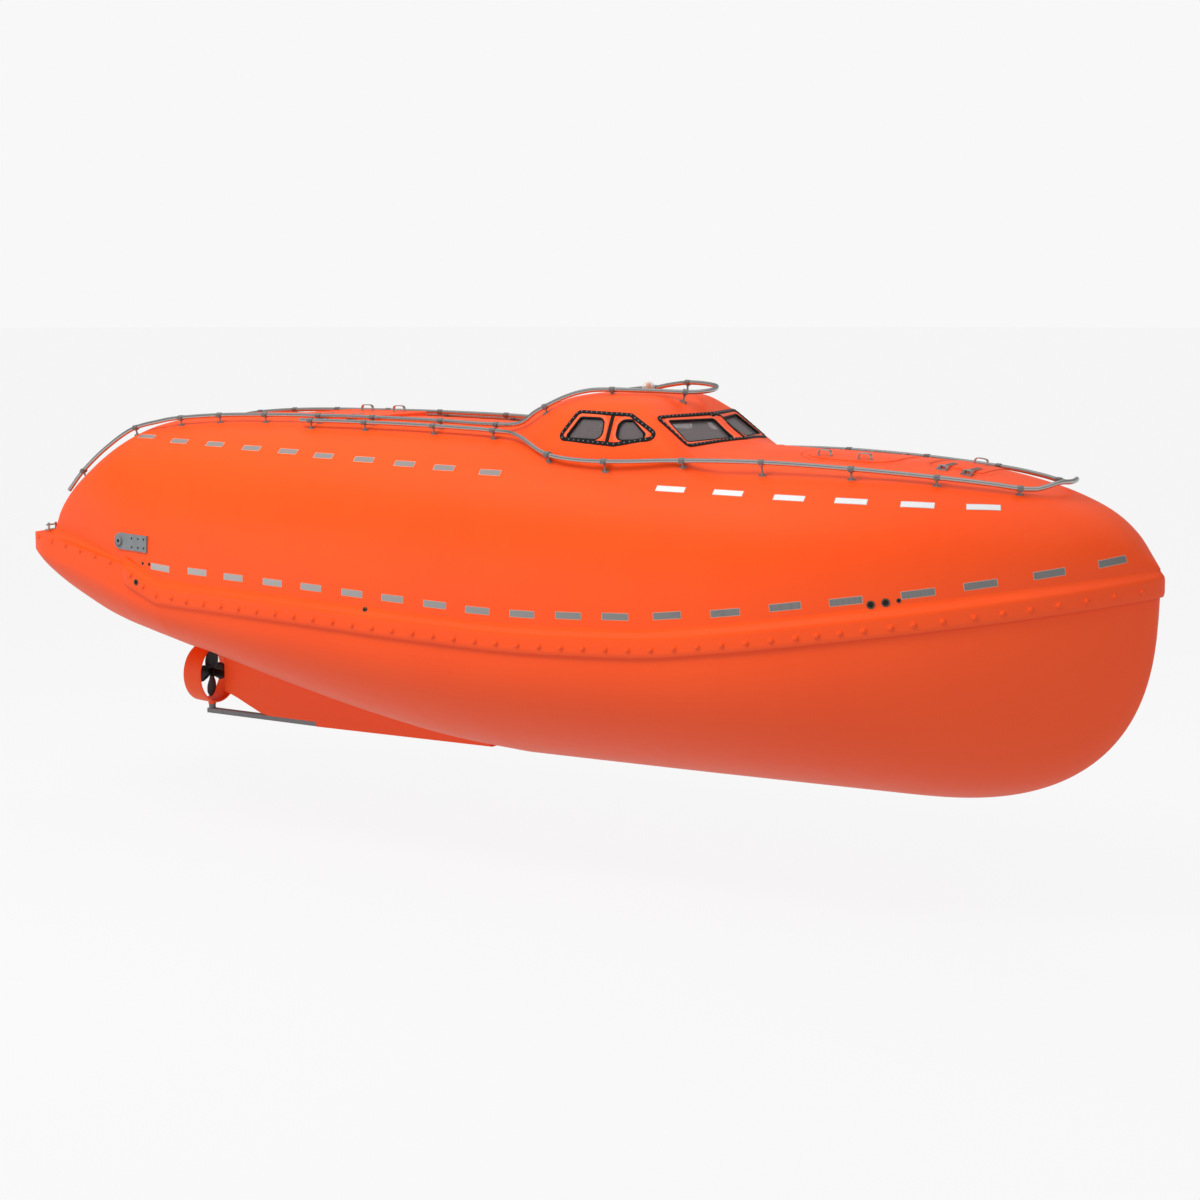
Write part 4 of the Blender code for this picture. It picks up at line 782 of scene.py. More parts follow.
def makeFender():
    places = [x for x in finePlaces(lines["bow"]) if x >= fender["aftEnd"]]
    between = [x for k, x in enumerate(places[1:-1]) if not (-1.6 < x < 3.2) or k % 3 == 0]
    places = [fender["aftEnd"]] + between + [places[-1]]
    mesh = bmesh.new()
    rows = []
    for x in places:
        ends = min(1.0, (x - fender["aftEnd"] + 0.012) / 0.03)         # small round at the aft end
        rows.append([(offsetSide(x, out * ends if out > 0.001 else out),
                      seamHeight(x) + level * fender["height"]) for out, level in fender["section"]])
    starboard = [[mesh.verts.new((p.x, min(p.y, -0.0005), z)) for p, z in row] for row in rows]
    port = [[mesh.verts.new((p.x, -min(p.y, -0.0005), z)) for p, z in row] for row in reversed(rows)]
    rings = starboard + port
    joinRings(mesh, rings)
    mesh.faces.new(rings[0])
    mesh.faces.new(list(reversed(rings[-1])))
    return addPiece("fender_band", mesh, finish["orange"], 40)


band = makeFender()


# What stands on the outside is seated by casting rays on it.
def outsideTree(things):
    verts, faces = [], []
    for thing in things:
        start = len(verts)
        verts += [v.co.copy() for v in thing.data.vertices]
        faces += [[start + i for i in p.vertices] for p in thing.data.polygons]
    return BVHTree.FromPolygons(verts, faces)


canopySurface = outsideTree([canopy])
sideSurface = outsideTree([canopy, hull, band])


def fromAbove(x, y):
    place, normal, _, _ = canopySurface.ray_cast(Vector((x, y, 6)), Vector((0, 0, -1)))
    return place, normal if normal.z > 0 else -normal


def fromSide(x, z, side=-1):
    place, normal, _, _ = sideSurface.ray_cast(Vector((x, side * 4, z)), Vector((0, -side, 0)))
    if place is None:
        return None, None
    return place, normal if normal.y * side > 0 else -normal


# Laminated fillet on both sides of the skeg's head. Section: out from the skeg, down from the hull.
skegFillet = {
    "aft": -4.748,
    "fore": -1.2,
    "gap": 0.06,
    "half": 0.055,
    "section": [(0.030, -0.006), (0.018, 0.001), (0.009, 0.009), (0.003, 0.020), (-0.0005, 0.034)],
}


def makeSkegFillet():
    mesh = bmesh.new()
    rings = []
    for x in np.arange(skegFillet["aft"], skegFillet["fore"], skegFillet["gap"]):
        size = min(1.0, 0.3 + 1.4 * (skegFillet["fore"] - x))
        side = []
        for out, down in skegFillet["section"]:
            y = skegFillet["half"] + out * size
            side.append((y, sideSurface.ray_cast(Vector((x, y, -3)), Vector((0, 0, 1)))[0].z - down * size))
        ring = [(-y, z) for y, z in side] + [(y, z) for y, z in reversed(side)]
        rings.append([mesh.verts.new((x, y, z)) for y, z in ring])
    joinRings(mesh, rings)
    mesh.faces.new(rings[0])
    mesh.faces.new(list(reversed(rings[-1])))
    keep(addPiece("skeg_fillet", mesh, finish["orange"], 60))


makeSkegFillet()


# Windows: black gasket with screws, panes with seals. Outlines run along the lower edge and up each wall.
windows = {
    "gasketWidth": 0.046,
    "gasketHeight": 0.013,
    "gasketCorner": 0.07,
    "paneSeal": (0.018, 0.006),              # width and height, as in the next three
    "paneRim": (0.040, 0.0045),
    "sideMullion": (0.042, 0.011),
    "shieldMullion": (0.040, 0.013),
    "rimOut": 0.026,                         # from the edge of the opening
    "mullionAt": 1.171,
    "mullionFoot": 0.072,
    "mullionTall": 0.31,
    "screwGap": 0.048,
    "side": {"gasket": [(0.550, 0.090), (0.742, 0.448), (1.385, 0.424), (1.845, 0.150), (1.26, 0.040)],
             "panes": [[(0.662, 0.118), (0.794, 0.360), (1.085, 0.356), (1.105, 0.108)],
                       [(1.262, 0.108), (1.262, 0.342), (1.415, 0.345), (1.618, 0.180), (1.55, 0.122)]],
             "radii": [[0.03, 0.035, 0.085, 0.085], [0.085, 0.085, 0.035, 0.03, 0.03]]},
    "shield": {"gasket": [(0.0, 0.105), (0.0, 0.587), (1.040, 0.572), (0.962, 0.072)],
               "panes": [[(0.17, 0.156), (0.19, 0.480), (0.898, 0.490), (0.903, 0.155)]],
               "radii": [[0.035, 0.035, 0.035, 0.035]]},
    "rear": {"gasket": [(-0.30, 0.385), (-0.27, 0.72), (0.27, 0.72), (0.30, 0.385)],
             "panes": [[(-0.235, 0.44), (-0.215, 0.665), (0.215, 0.665), (0.235, 0.44)]],
             "radii": [[0.04, 0.04, 0.04, 0.04]]},
}


def planeFrame(origin, along, up):
    along = Vector(along).normalized()
    out = along.cross(Vector(up)).normalized()
    turn = Matrix((along, out.cross(along), out)).transposed().to_4x4()
    return Matrix.Translation(Vector(origin) - Vector((0, 0, draft))) @ turn


windowPlanes = {
    "side_starboard": (planeFrame((0, -1.10, 3.5), (1, 0, 0), (0, 0.2, 0.4)), 1),
    "side_port": (planeFrame((0, 1.10, 3.5), (-1, 0, 0), (0, -0.2, 0.4)), -1),
    "shield_starboard": (planeFrame((2.33, 0, 3.5), (0.242, 1.001, 0), (-0.53, 0, 0.4)), -1),
    "shield_port": (planeFrame((2.33, 0, 3.5), (-0.242, 1.001, 0), (-0.53, 0, 0.4)), 1),
    "rear": (planeFrame((-0.62, 0, 3.5), (0, -1, 0), (0.65, 0, 0.4)), 1),
}


# Point and normal of the moulding under (s, t) of a window's plane.
def onWall(matrix, s, t):
    out = (matrix.to_3x3() @ Vector((0, 0, 1))).normalized()
    start = matrix @ Vector((s, t, 0.1))
    place, normal, _, _ = canopySurface.ray_cast(start, -out, 0.2)
    if place is None:
        return matrix @ Vector((s, t, 0)), out
    return place, normal if normal.dot(out) > 0 else -normal


def wallLoop(matrix, outline, gap=0.03):
    spots = [onWall(matrix, p.x, p.y) for p in denser(outline, gap)]
    return [s[0] for s in spots], [s[1] for s in spots]


def wayed(outline, way):
    return [(s * way, t) for s, t in outline]


def halfRound(width, height, sides=6, sink=0.012):
    rim = [(width / 2 * math.cos(math.pi * k / sides), height * (0.35 + 0.65 * math.sin(math.pi * k / sides)))
           for k in range(sides + 1)]
    return [(width / 2, -sink)] + rim + [(-width / 2, -sink)]


gasketSection = halfRound(windows["gasketWidth"], windows["gasketHeight"])
screwSpots = []


def gasketRing(mesh, points, normals, section):
    sweep(mesh, points, normals, section, closed=True)
    total = 0.0
    for i, point in enumerate(points):
        before = points[i - 1]
        total += (point - before).length
        if total > windows["screwGap"]:
            total = 0.0
            along = (points[(i + 1) % len(points)] - before).normalized()
            screwSpots.append((point + normals[i] * windows["gasketHeight"], normals[i], along))


# Gaskets over the walls, and the cutters for the panes' openings.
def makeWindows():
    cutters = bmesh.new()
    seals = bmesh.new()
    rims = bmesh.new()
    made = []
    paneSection = halfRound(*windows["paneSeal"], 4)
    rimSection = halfRound(*windows["paneRim"], 4)
    for name, (matrix, way) in windowPlanes.items():
        kind = windows[name.split("_")[0]]
        for pane, radii in zip(kind["panes"], kind["radii"]):
            outline = roundedOutline(wayed(pane, way), radii)
            plate(cutters, matrix, outline, -0.2, 0.06)
            for face in cutters.faces:
                face.material_index = 2                                # the reveal is drawn black: painted shade on the opening's walls
            points, normals = wallLoop(matrix, outline, 0.025)
            sweep(seals, points, normals, paneSection, closed=True)
            points, normals = wallLoop(matrix, insetOutline(outline, -windows["rimOut"]), 0.025)
            sweep(rims, points, normals, rimSection, closed=True)
    for name in ("side_starboard", "side_port", "rear"):
        matrix, way = windowPlanes[name]
        corners = wayed(windows[name.split("_")[0]]["gasket"], way)
        outline = insetOutline(roundedOutline(corners, windows["gasketCorner"]), windows["gasketWidth"] / 2)
        mesh = bmesh.new()
        points, normals = wallLoop(matrix, outline)
        gasketRing(mesh, points, normals, gasketSection)
        if name != "rear":                                             # mullion between the two panes
            line = [(windows["mullionAt"] * way, windows["mullionFoot"] + windows["mullionTall"] * k / 10)
                    for k in range(11)]
            spots = [onWall(matrix, s, t) for s, t in line]
            sweep(mesh, [s[0] for s in spots], [s[1] for s in spots], halfRound(*windows["sideMullion"]))
        made.append((addPiece("window_gasket_" + name, mesh, finish["rubber"], 50), ("window_frame_" + name,)))
    # The windshield has one gasket round both halves and a thin mullion on the centreline.
    mesh = bmesh.new()
    corners = windows["shield"]["gasket"]
    inset = windows["gasketWidth"] / 2
    points, normals = [], []
    for name, order in (("shield_starboard", 1), ("shield_port", -1)):
        matrix, way = windowPlanes[name]
        half = wayed([corners[1], corners[2], corners[3], corners[0]], way)
        outline = roundedOutline(half, [1e-4, windows["gasketCorner"], windows["gasketCorner"], 1e-4])
        outline = insetOutline(outline, inset)
        kept = [p for p in outline if abs(p[0]) > inset * 1.5]
        ends = [(0.0, corners[1][1] - inset), (0.0, corners[0][1] + inset)]
        kept = ([ends[0]] + kept + [ends[1]])[::order]
        spots = [onWall(matrix, p.x, p.y) for p in denser(kept, 0.03, closed=False)]
        points += [s[0] for s in spots[:-1]]
        normals += [s[1] for s in spots[:-1]]
    gasketRing(mesh, points, normals, gasketSection)
    matrix, way = windowPlanes["shield_starboard"]
    tall = corners[1][1] - corners[0][1] - 2 * inset
    line = [(0.0, corners[0][1] + inset + tall * k / 12) for k in range(13)]
    spots = [onWall(matrix, s, t)[0] for s, t in line]
    front = Vector((0.4, 0, 0.53)).normalized()
    sweep(mesh, spots, [front] * len(spots), halfRound(*windows["shieldMullion"]))
    made.append((addPiece("window_gasket_shield", mesh, finish["rubber"], 50),
                 ("window_frame_shield_starboard", "window_frame_shield_port")))
    sealPiece = addPiece("pane_seals", seals, finish["rubber"], 50)
    rimPiece = addPiece("pane_rims", rims, finish["orangeFrame"], 50)
    # The cutters' faces carry black into the reveals of the openings: painted shade.
    cutterPiece = addPiece("pane_cutters", cutters, [finish["orange"], finish["inside"], finish["rubber"]])
    return made, sealPiece, rimPiece, cutterPiece


gaskets, sealPiece, rimPiece, paneCutters = makeWindows()
print("windows", len(screwSpots), "screws")


# Lids that close flush in the canopy, with their rebates, straps and handles.
lids = {
    "thickness": 0.024,
    "clearance": 0.006,
    "field": 0.07,
    "reach": 0.30,           # how far the straps run over the lid
    "fore_hatch": {"centre": 3.61, "half": (0.56, 0.60), "corner": 0.34, "hinge": 1, "body": "fore_lid",
                   "straps": (-0.19, 0.17), "handles": ((-0.34, -0.42), (0.10, -0.42))},
    "bow_hatch": {"centre": 4.76, "half": (0.31, 0.40), "corner": 0.12, "hinge": -1, "body": "bow_lid",
                  "straps": (-0.13, 0.13), "handles": ((-0.07, 0.24),)},
    "stern_door": {"centre": -5.98, "half": (0.46, 0.36), "corner": 0.12, "hinge": 1, "body": "door",
                   "straps": (-0.28, 0.28), "handles": ((-0.07, -0.22),)},
}


def roofFrame(x):
    step = 0.25
    slope = (roofHeight(x + step) - roofHeight(x - step)) / (2 * step)
    along = Vector((1, 0, slope)).normalized()
    out = Vector((-along.z, 0, along.x))
    turn = Matrix((along, Vector((0, 1, 0)), out)).transposed().to_4x4()
    return Matrix.Translation((x, 0, roofHeight(x))) @ turn


# Level of the canopy over the frame's own plane.
def skinUnder(matrix, x, y):
    out = matrix.to_3x3() @ Vector((0, 0, 1))
    place = canopySurface.ray_cast(matrix @ Vector((x, y, 0.6)), -out)[0]
    return (matrix.inverted() @ place).z


# Closed slab over an outline that follows the canopy: bottom and top are its levels over the skin.
def skinPatch(mesh, matrix, outline, bottom, top, rings=10):
    levels = {}
    for k in range(rings + 1):
        share = k / rings
        for i, (x, y) in enumerate(outline if k else outline[:1]):
            levels[k, i] = (x * share, y * share, skinUnder(matrix, x * share, y * share))
    sheets = []
    for height in (bottom, top):
        grid = []
        for k in range(rings + 1):
            count = len(outline) if k else 1
            grid.append([mesh.verts.new(matrix @ (Vector(levels[k, i]) + Vector((0, 0, height))))
                         for i in range(count)])
        joinRings(mesh, grid)
        sheets.append(grid)
    joinRings(mesh, [sheets[0][-1], sheets[1][-1]])


flatBar = [(-0.005, -0.019), (-0.004, -0.020), (0.004, -0.020), (0.005, -0.019),
           (0.005, 0.019), (0.004, 0.020), (-0.004, 0.020), (-0.005, 0.019)]


# Bent flat bar on two feet.
def barHandle(mesh, matrix, x, y, length, base, height):
    line = [(x, base), (x, base + height - 0.03), (x + 0.012, base + height - 0.008),
            (x + 0.035, base + height),
            (x + length - 0.035, base + height), (x + length - 0.012, base + height - 0.008),
            (x + length, base + height - 0.03), (x + length, base)]
    path = smoothPath([matrix @ Vector((a, y, b)) for a, b in line], 0.008)
    side = matrix.to_3x3() @ Vector((0, 1, 0))
    sweep(mesh, path, [side] * len(path), flatBar)
    for end in (x, x + length):
        foot = matrix @ Matrix.Translation((end, y, base))
        lathe(mesh, foot, [(0.0, -0.004), (0.022, -0.004), (0.022, 0.003), (0.017, 0.006), (0.0, 0.006)], 16)


# Flat strap along +X with a row of round holes.
def holedStrap(mesh, matrix, length, width, thick, holes):
    step = length / holes
    half = width / 2
    radius = min(step, width) * 0.27
    lower = []
    for level in (0.0, thick):
        for k in range(holes):
            square, ring = [], []
            for i in range(16):
                a = math.tau * (i + 0.5) / 16
                across, up = math.cos(a), math.sin(a)
                edge = 1 / max(abs(across) / (step / 2), abs(up) / half)
                for reach, made in ((edge, square), (radius, ring)):
                    spot = Vector(((k + 0.5) * step + reach * across, reach * up, level))
                    made.append(mesh.verts.new(matrix @ spot))
            joinRings(mesh, [square, ring])
            if level:
                joinRings(mesh, [lower[k], ring])
            else:
                lower.append(ring)
    outline = [(0, -half), (length, -half), (length, half), (0, half)]
    for (ax, ay), (bx, by) in zip(outline, outline[1:] + outline[:1]):
        corners = [matrix @ Vector(c) for c in ((ax, ay, 0), (bx, by, 0), (bx, by, thick), (ax, ay, thick))]
        mesh.faces.new([mesh.verts.new(c) for c in corners])


def makeLid(name, plan):
    matrix = roofFrame(plan["centre"])
    halfX, halfY = plan["half"]
    corners = [(-halfX, -halfY), (halfX, -halfY), (halfX, halfY), (-halfX, halfY)]
    rounded = roundedOutline(corners, plan["corner"], 10)

    def loop(inset):
        return [tuple(p) for p in denser(insetOutline(rounded, inset) if inset else rounded, 0.05)]

    panel = bmesh.new()
    skinPatch(panel, matrix, loop(0.0), -lids["thickness"], 0.0)
    skinPatch(panel, matrix, loop(lids["field"]), -0.004, 0.007)       # stiffening field pressed into the lid
    panelPiece = addPiece(name + "_panel", panel, finish["orange"], 30)
    metal = bmesh.new()
    way = plan["hinge"]
    axisY = way * (halfY + 0.022)
    axisZ = skinUnder(matrix, 0, way * (halfY + 0.03)) + 0.026
    for x in plan["straps"]:
        tip = axisY - way * lids["reach"]
        start = Vector((x, axisY, axisZ - 0.004))
        end = Vector((x, tip, skinUnder(matrix, x, tip) + 0.009))
        along = (end - start).normalized()
        out = Vector((0, 0, 1)) - along * along.z
        strap = matrix @ frameAt(start, along, out)
        holedStrap(metal, strap, (end - start).length, 0.056, 0.006, 5)
        lathe(metal, matrix @ frameAt((x - 0.026, axisY, axisZ), (0, 1, 0), (1, 0, 0)),
              [(0.0, 0.0), (0.012, 0.0), (0.0138, 0.002), (0.0138, 0.05), (0.012, 0.052), (0.0, 0.052)], 16)
    for x, y in plan["handles"]:
        base = min(skinUnder(matrix, x + dx, y) for dx in (0, 0.15)) + 0.006
        barHandle(metal, matrix, x + 0.006, y, 0.138, base, 0.06)
    metalPiece = addPiece(name + "_fittings", metal, finish["steel"], 40)
    rebate = bmesh.new()
    skinPatch(rebate, matrix, loop(-lids["clearance"]), -lids["thickness"] - 0.001, 0.08)
    rebatePiece = addPiece(name + "_rebate", rebate, finish["orange"])
    through = bmesh.new()
    plate(through, matrix, insetOutline(rounded, 0.035), -0.3, -0.01)
    throughPiece = addPiece(name + "_through", through, finish["orange"])
    return panelPiece, metalPiece, [rebatePiece, throughPiece]


lidPieces, cutTools = {}, [paneCutters]
for name, plan in lids.items():
    if isinstance(plan, dict):
        panelPiece, metalPiece, tools = makeLid(name, plan)
        lidPieces[name] = (panelPiece, metalPiece)
        cutTools += tools


# Aft hatch: flat-topped box lid on the crown.
aftHatch = {
    "low": -3.2,
    "high": -2.1,
    "half": 0.5,
    "top": 3.745 - draft,
    "corner": 0.06,
    "axisY": -0.53,
    "straps": (-2.85, -2.45),
    "handles": (-2.95, -2.50),
}


def makeAftHatch():
    low, high, half, top = (aftHatch[k] for k in ("low", "high", "half", "top"))
    corners = [(low, -half), (high, -half), (high, half), (low, half)]
    outline = [tuple(p) for p in denser(roundedOutline(corners, aftHatch["corner"], 6), 0.06)]
    mesh = bmesh.new()
    rings = []
    for inset, level in ((0.0, None), (0.0, top - 0.014), (0.004, top - 0.005), (0.012, top), (0.044, top),
                         (0.051, top - 0.007)):
        ring = []
        for x, y in insetOutline(outline, inset) if inset else outline:
            z = level if level is not None else min(fromAbove(x, y)[0].z + 0.0005, top - 0.02)
            ring.append(mesh.verts.new((x, y, z)))
        rings.append(ring)
    centre = ((low + high) / 2, 0.0)
    # Flat fields, ring inside ring.
    for level, onTop in ((top - 0.007, True), (rings[0][0].co.z, False)):
        edge = rings[-1 if onTop else 0]
        for share in (0.7, 0.4, 0.0):
            points = edge if share else edge[:1]
            ring = [mesh.verts.new((centre[0] + (v.co.x - centre[0]) * share, v.co.y * share,
                                    level if onTop else v.co.z * share + (1 - share) * level)) for v in points]
            rings.insert(len(rings) if onTop else 0, ring)
    joinRings(mesh, rings)
    panel = addPiece("aft_hatch_panel", mesh, finish["orange"], 30)
    metal = bmesh.new()
    axisY = aftHatch["axisY"]
    axisZ = fromAbove(-2.5, axisY)[0].z + 0.03
    for x in aftHatch["straps"]:
        lathe(metal, frameAt((x - 0.03, axisY, axisZ), (0, 1, 0), (1, 0, 0)),
              [(0.0, 0.0), (0.012, 0.0), (0.0138, 0.002), (0.0138, 0.058), (0.012, 0.06), (0.0, 0.06)], 16)
        block(metal, Matrix.Identity(4), (x - 0.028, axisY - 0.002, axisZ - 0.006),
              (x + 0.028, -0.49, axisZ + 0.006), 0.002)
        holedStrap(metal, Matrix.Translation((x, -0.485, top - 0.002)) @ Matrix.Rotation(math.pi / 2, 4, "Z"),
                   0.16, 0.05, 0.006, 4)
    for x in aftHatch["handles"]:
        barHandle(metal, Matrix.Translation((0, 0, top)), x + 0.006, 0.36, 0.148, -0.004, 0.066)
    fittings = addPiece("aft_hatch_fittings", metal, finish["steel"], 40)
    through = bmesh.new()
    plate(through, Matrix.Identity(4), insetOutline(outline, 0.05), 3.3 - draft, 4.0 - draft)
    return panel, fittings, addPiece("aft_hatch_through", through, finish["orange"])


aftPanel, aftFittings, aftThrough = makeAftHatch()
cutTools.append(aftThrough)
print("lids")


def cutCanopy():
    for tool in cutTools:
        change = canopy.modifiers.new(tool.name, "BOOLEAN")
        change.operation = "DIFFERENCE"
        change.solver = "EXACT"
        change.object = tool
    settle(canopy)
    for tool in cutTools:
        bpy.data.objects.remove(tool)


cutCanopy()
print("openings cut", len(canopy.data.polygons))
keep(hull, stands=("lower_hull",))
keep(canopy, stands=("canopy",))
keep(band, stands=("gunwale_fender",))
for piece, nodes in gaskets:
    keep(piece, stands=nodes)
keep(sealPiece)
keep(rimPiece)
for name, (panelPiece, metalPiece) in lidPieces.items():
    keep(panelPiece, lids[name]["body"], stands=(name,))
    keep(metalPiece, lids[name]["body"])
keep(aftPanel, "aft_lid", stands=("aft_hatch",))
keep(aftFittings, "aft_lid")


# Grab rails: polished tube held by dark posts with split clamps. Further numbers are the
# tube's own level, to starboard and to port.
rails = {
    "radius": 0.0245,
    "height": 0.092,
    "deck": [(-2.95, 0.79), (-2.2, 0.79), (-1.2, 0.79), (-0.33, 0.80), (0.07, 0.92, 2.655), (0.48, 1.12, 2.500),
             (0.88, 1.165, 2.446), (1.4, 1.165, 2.446), (2.06, 1.11, 2.476), (2.95, 1.03, 2.484),
             (3.88, 0.94, 2.448),
             (4.75, 0.80, 2.384), (5.20, 0.655, 2.333), (5.45, 0.54, 2.293), (5.58, 0.45, 2.286),
             (5.66, 0.36, 2.312),
             (5.73, 0.24, 2.340), (5.765, 0.12, 2.338), (5.775, 0.0, 2.335)],
    "deckPosts": [-2.79, -2.06, -1.15, -0.35, 0.51, 1.24, 2.10, 2.95, 3.88, 4.74, 5.49],
    "roof": [(-6.36, 0.83), (-6.15, 0.82), (-5.8, 0.81), (-5.42, 0.78), (-5.05, 0.74), (-4.75, 0.71),
             (-4.2, 0.69), (-3.55, 0.67), (-2.8, 0.655), (-2.06, 0.65), (-1.15, 0.65), (-0.55, 0.65),
             (-0.1, 0.62, 2.765), (0.12, 0.595, 2.905), (0.42, 0.545, 3.062), (0.66, 0.505, 3.130, 3.110),
             (0.9, 0.47, 3.142, 3.128), (1.1, 0.44, 3.140, 3.165), (1.35, 0.39, 3.136, 3.196),
             (1.55, 0.32, 3.128, 3.194), (1.70, 0.22, 3.126, 3.176), (1.775, 0.11, 3.132, 3.156),
             (1.79, 0.0, 3.144)],
    "roofPosts": [-6.2, -5.42, -4.75, -4.2, -3.55, -2.8, -2.06, -1.15, -0.42, 0.16, 0.88,
                  (1.36, 1), (1.69, -1)],
    "short": [(-4.63, 0.86), (-4.2, 0.84), (-3.75, 0.82), (-3.40, 0.80)],
    "shortPosts": [-4.45, -3.9, -3.5],
}


# Foot and stem of one post, one rail's height tall; X runs along the rail.
def railStem():
    mesh = bmesh.new()
    flat = Matrix.Identity(4)
    height = rails["height"]
    foot = roundedOutline([(-0.042, -0.018), (0.042, -0.018), (0.042, 0.018), (-0.042, 0.018)], 0.0175, 4)
    plate(mesh, flat, foot, -0.012, 0.006)
    lathe(mesh, flat, [(0.0, 0.0), (0.019, 0.0), (0.019, 0.008), (0.0125, 0.02), (0.0105, 0.036),
                       (0.0105, height - 0.04), (0.015, height - 0.028), (0.0, height - 0.026)], 12)
    for end in (-0.029, 0.029):
        lathe(mesh, Matrix.Translation((end, 0, 0)),
              [(0.0, 0.004), (0.0085, 0.004), (0.0085, 0.0105), (0.0, 0.012)], 8)
    return addPiece("rail_stem_part", mesh, finish["cast"], 35)


# Split clamp round the tube with an ear on each side and its bolts.
def railClamp():
    mesh = bmesh.new()
    flat = Matrix.Identity(4)
    radius = rails["radius"]
    turnRing(mesh, frameAt((0, 0, 0), (0, 1, 0), (1, 0, 0)),
             [(radius + 0.0005, -0.029), (radius + 0.005, -0.029), (radius + 0.007, -0.026),
              (radius + 0.007, 0.026), (radius + 0.005, 0.029), (radius + 0.0005, 0.029)], 20)
    for side in (-1, 1):                                               # ears on both sides of the split
        inner, outer = sorted((side * (radius + 0.004), side * (radius + 0.024)))
        block(mesh, flat, (-0.027, inner, 0.001), (0.027, outer, 0.0075), 0.0015)
        block(mesh, flat, (-0.027, inner, -0.0075), (0.027, outer, -0.001), 0.0015)
        for along in (-0.015, 0.015):
            lathe(mesh, Matrix.Translation((along, side * (radius + 0.015), 0)),
                  [(0.0, -0.018), (0.0065, -0.018), (0.0065, 0.015), (0.0, 0.0165)], 6)
    return addPiece("rail_clamp_part", mesh, finish["cast"], 35)


def makeRail(name, plan, postPlaces, stem, clamp, both=True):
    points, port = [], []
    for x, y, *levels in plan:
        place, normal, _, _ = cadSurface.ray_cast(Vector((x, -y, 6)), Vector((0, 0, -1)))
        point = place + normal * rails["height"]
        low, high = (levels[0], levels[-1]) if levels else (point.z, point.z)
        points.append(Vector((point.x, min(point.y, 0.0) if y else 0.0, low)))
        if y:
            port.insert(0, Vector((point.x, -point.y, high)))
    path = smoothPath(points + port if both else port, 0.05)
    mesh = bmesh.new()
    normals = []
    side = (path[1] - path[0]).cross(Vector((0, 0, 1))).normalized()
    for i, point in enumerate(path):                                   # frames carried along without twist
        along = (path[min(i + 1, len(path) - 1)] - path[max(i - 1, 0)]).normalized()
        side = (side - along * side.dot(along)).normalized()
        normals.append(side)
    sweep(mesh, path, normals, circle(rails["radius"], 16))
    tubePiece = addPiece(name + "_tube", mesh, finish["steel"], 50)
    stemSpots, clampSpots = [], []
    for given in postPlaces:
        x, sides = given if isinstance(given, tuple) else (given, 0)
        for way in (sides,) if sides else (-1, 1) if both else (1,):
            near = min(path, key=lambda p: abs(p.x - x) + (0 if p.y * way > 0 else 99))
            k = path.index(near)
            along = (path[min(k + 1, len(path) - 1)] - path[max(k - 1, 0)]).normalized()
            place, normal, _, _ = canopySurface.ray_cast(near, Vector((0, 0, -1)))
            lean = (Vector((0, 0, 1)) + 0.8 * normal).normalized()     # posts stand between upright and square
            place = canopySurface.ray_cast(near, -lean, 0.6)[0]
            tall = (near - place).length
            stemSpots.append((place, lean, along, (1, 1, tall / rails["height"])))
            clampSpots.append((near, lean, along))
    stems = scatter(name + "_posts", stem, stemSpots, finish["cast"])
    clamps = scatter(name + "_clamps", clamp, clampSpots, finish["cast"])
    keep(tubePiece, stands=(name,))
    keep(stems)
    keep(clamps)


cadSurface = outsideTree([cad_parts["canopy"]])
stem, clamp = railStem(), railClamp()
makeRail("deck_rail", rails["deck"], rails["deckPosts"], stem, clamp)
makeRail("roof_rail", rails["roof"], rails["roofPosts"], stem, clamp)
makeRail("short_rail", rails["short"], rails["shortPosts"], stem, clamp, both=False)
dropPart(stem)
dropPart(clamp)
print("rails")


# Bolts, screws, tapes and outlets: one part each, set on points cast on the outside.
fastenings = {
    "flange": [-6.62, -6.33, -6.06, -5.78, -5.51, -5.235],
    "diagonal": [(-4.847, 0.938), (-4.639, 0.821), (-4.431, 0.733), (-4.183, 0.723)],
    "fore": [3.125, 3.384, 3.636, 3.845, 4.068, 4.295, 4.547, 4.754, 5.013, 5.287, 5.525, 5.753, 5.978, 6.196,
             6.406, 6.60],
    "spacing": 0.262,
    "last": -4.05,           # the evenly spaced row ends here
    "underSeam": 0.02,
    "flangeRise": 0.07,
}


def domedBolt():
    washer = [(0.0, -0.008), (0.038, -0.008), (0.038, 0.0008), (0.035, 0.003), (0.029, 0.004)]
    quarter = [math.pi / 2 * k / 6 for k in range(6)]
    dome = [(0.027 * math.cos(a), 0.004 + 0.0175 * math.sin(a)) for a in quarter]
    return turnedPart("domed_bolt_part", washer + dome + [(0.0, 0.0215)], 18, "orange", 50)


def screwHead():
    return turnedPart("screw_head_part", [(0.0, -0.004), (0.0075, -0.003), (0.0075, 0.0014), (0.0055, 0.0032),
                                          (0.0024, 0.0032), (0.0016, 0.0014), (0.0, 0.0014)], 8, "zinc", 40)


def fenderSpot(x, side):
    place, normal = fromSide(x, seamHeight(x) - fastenings["underSeam"], side)
    return (place, normal, (1, 0, 0)) if place else None


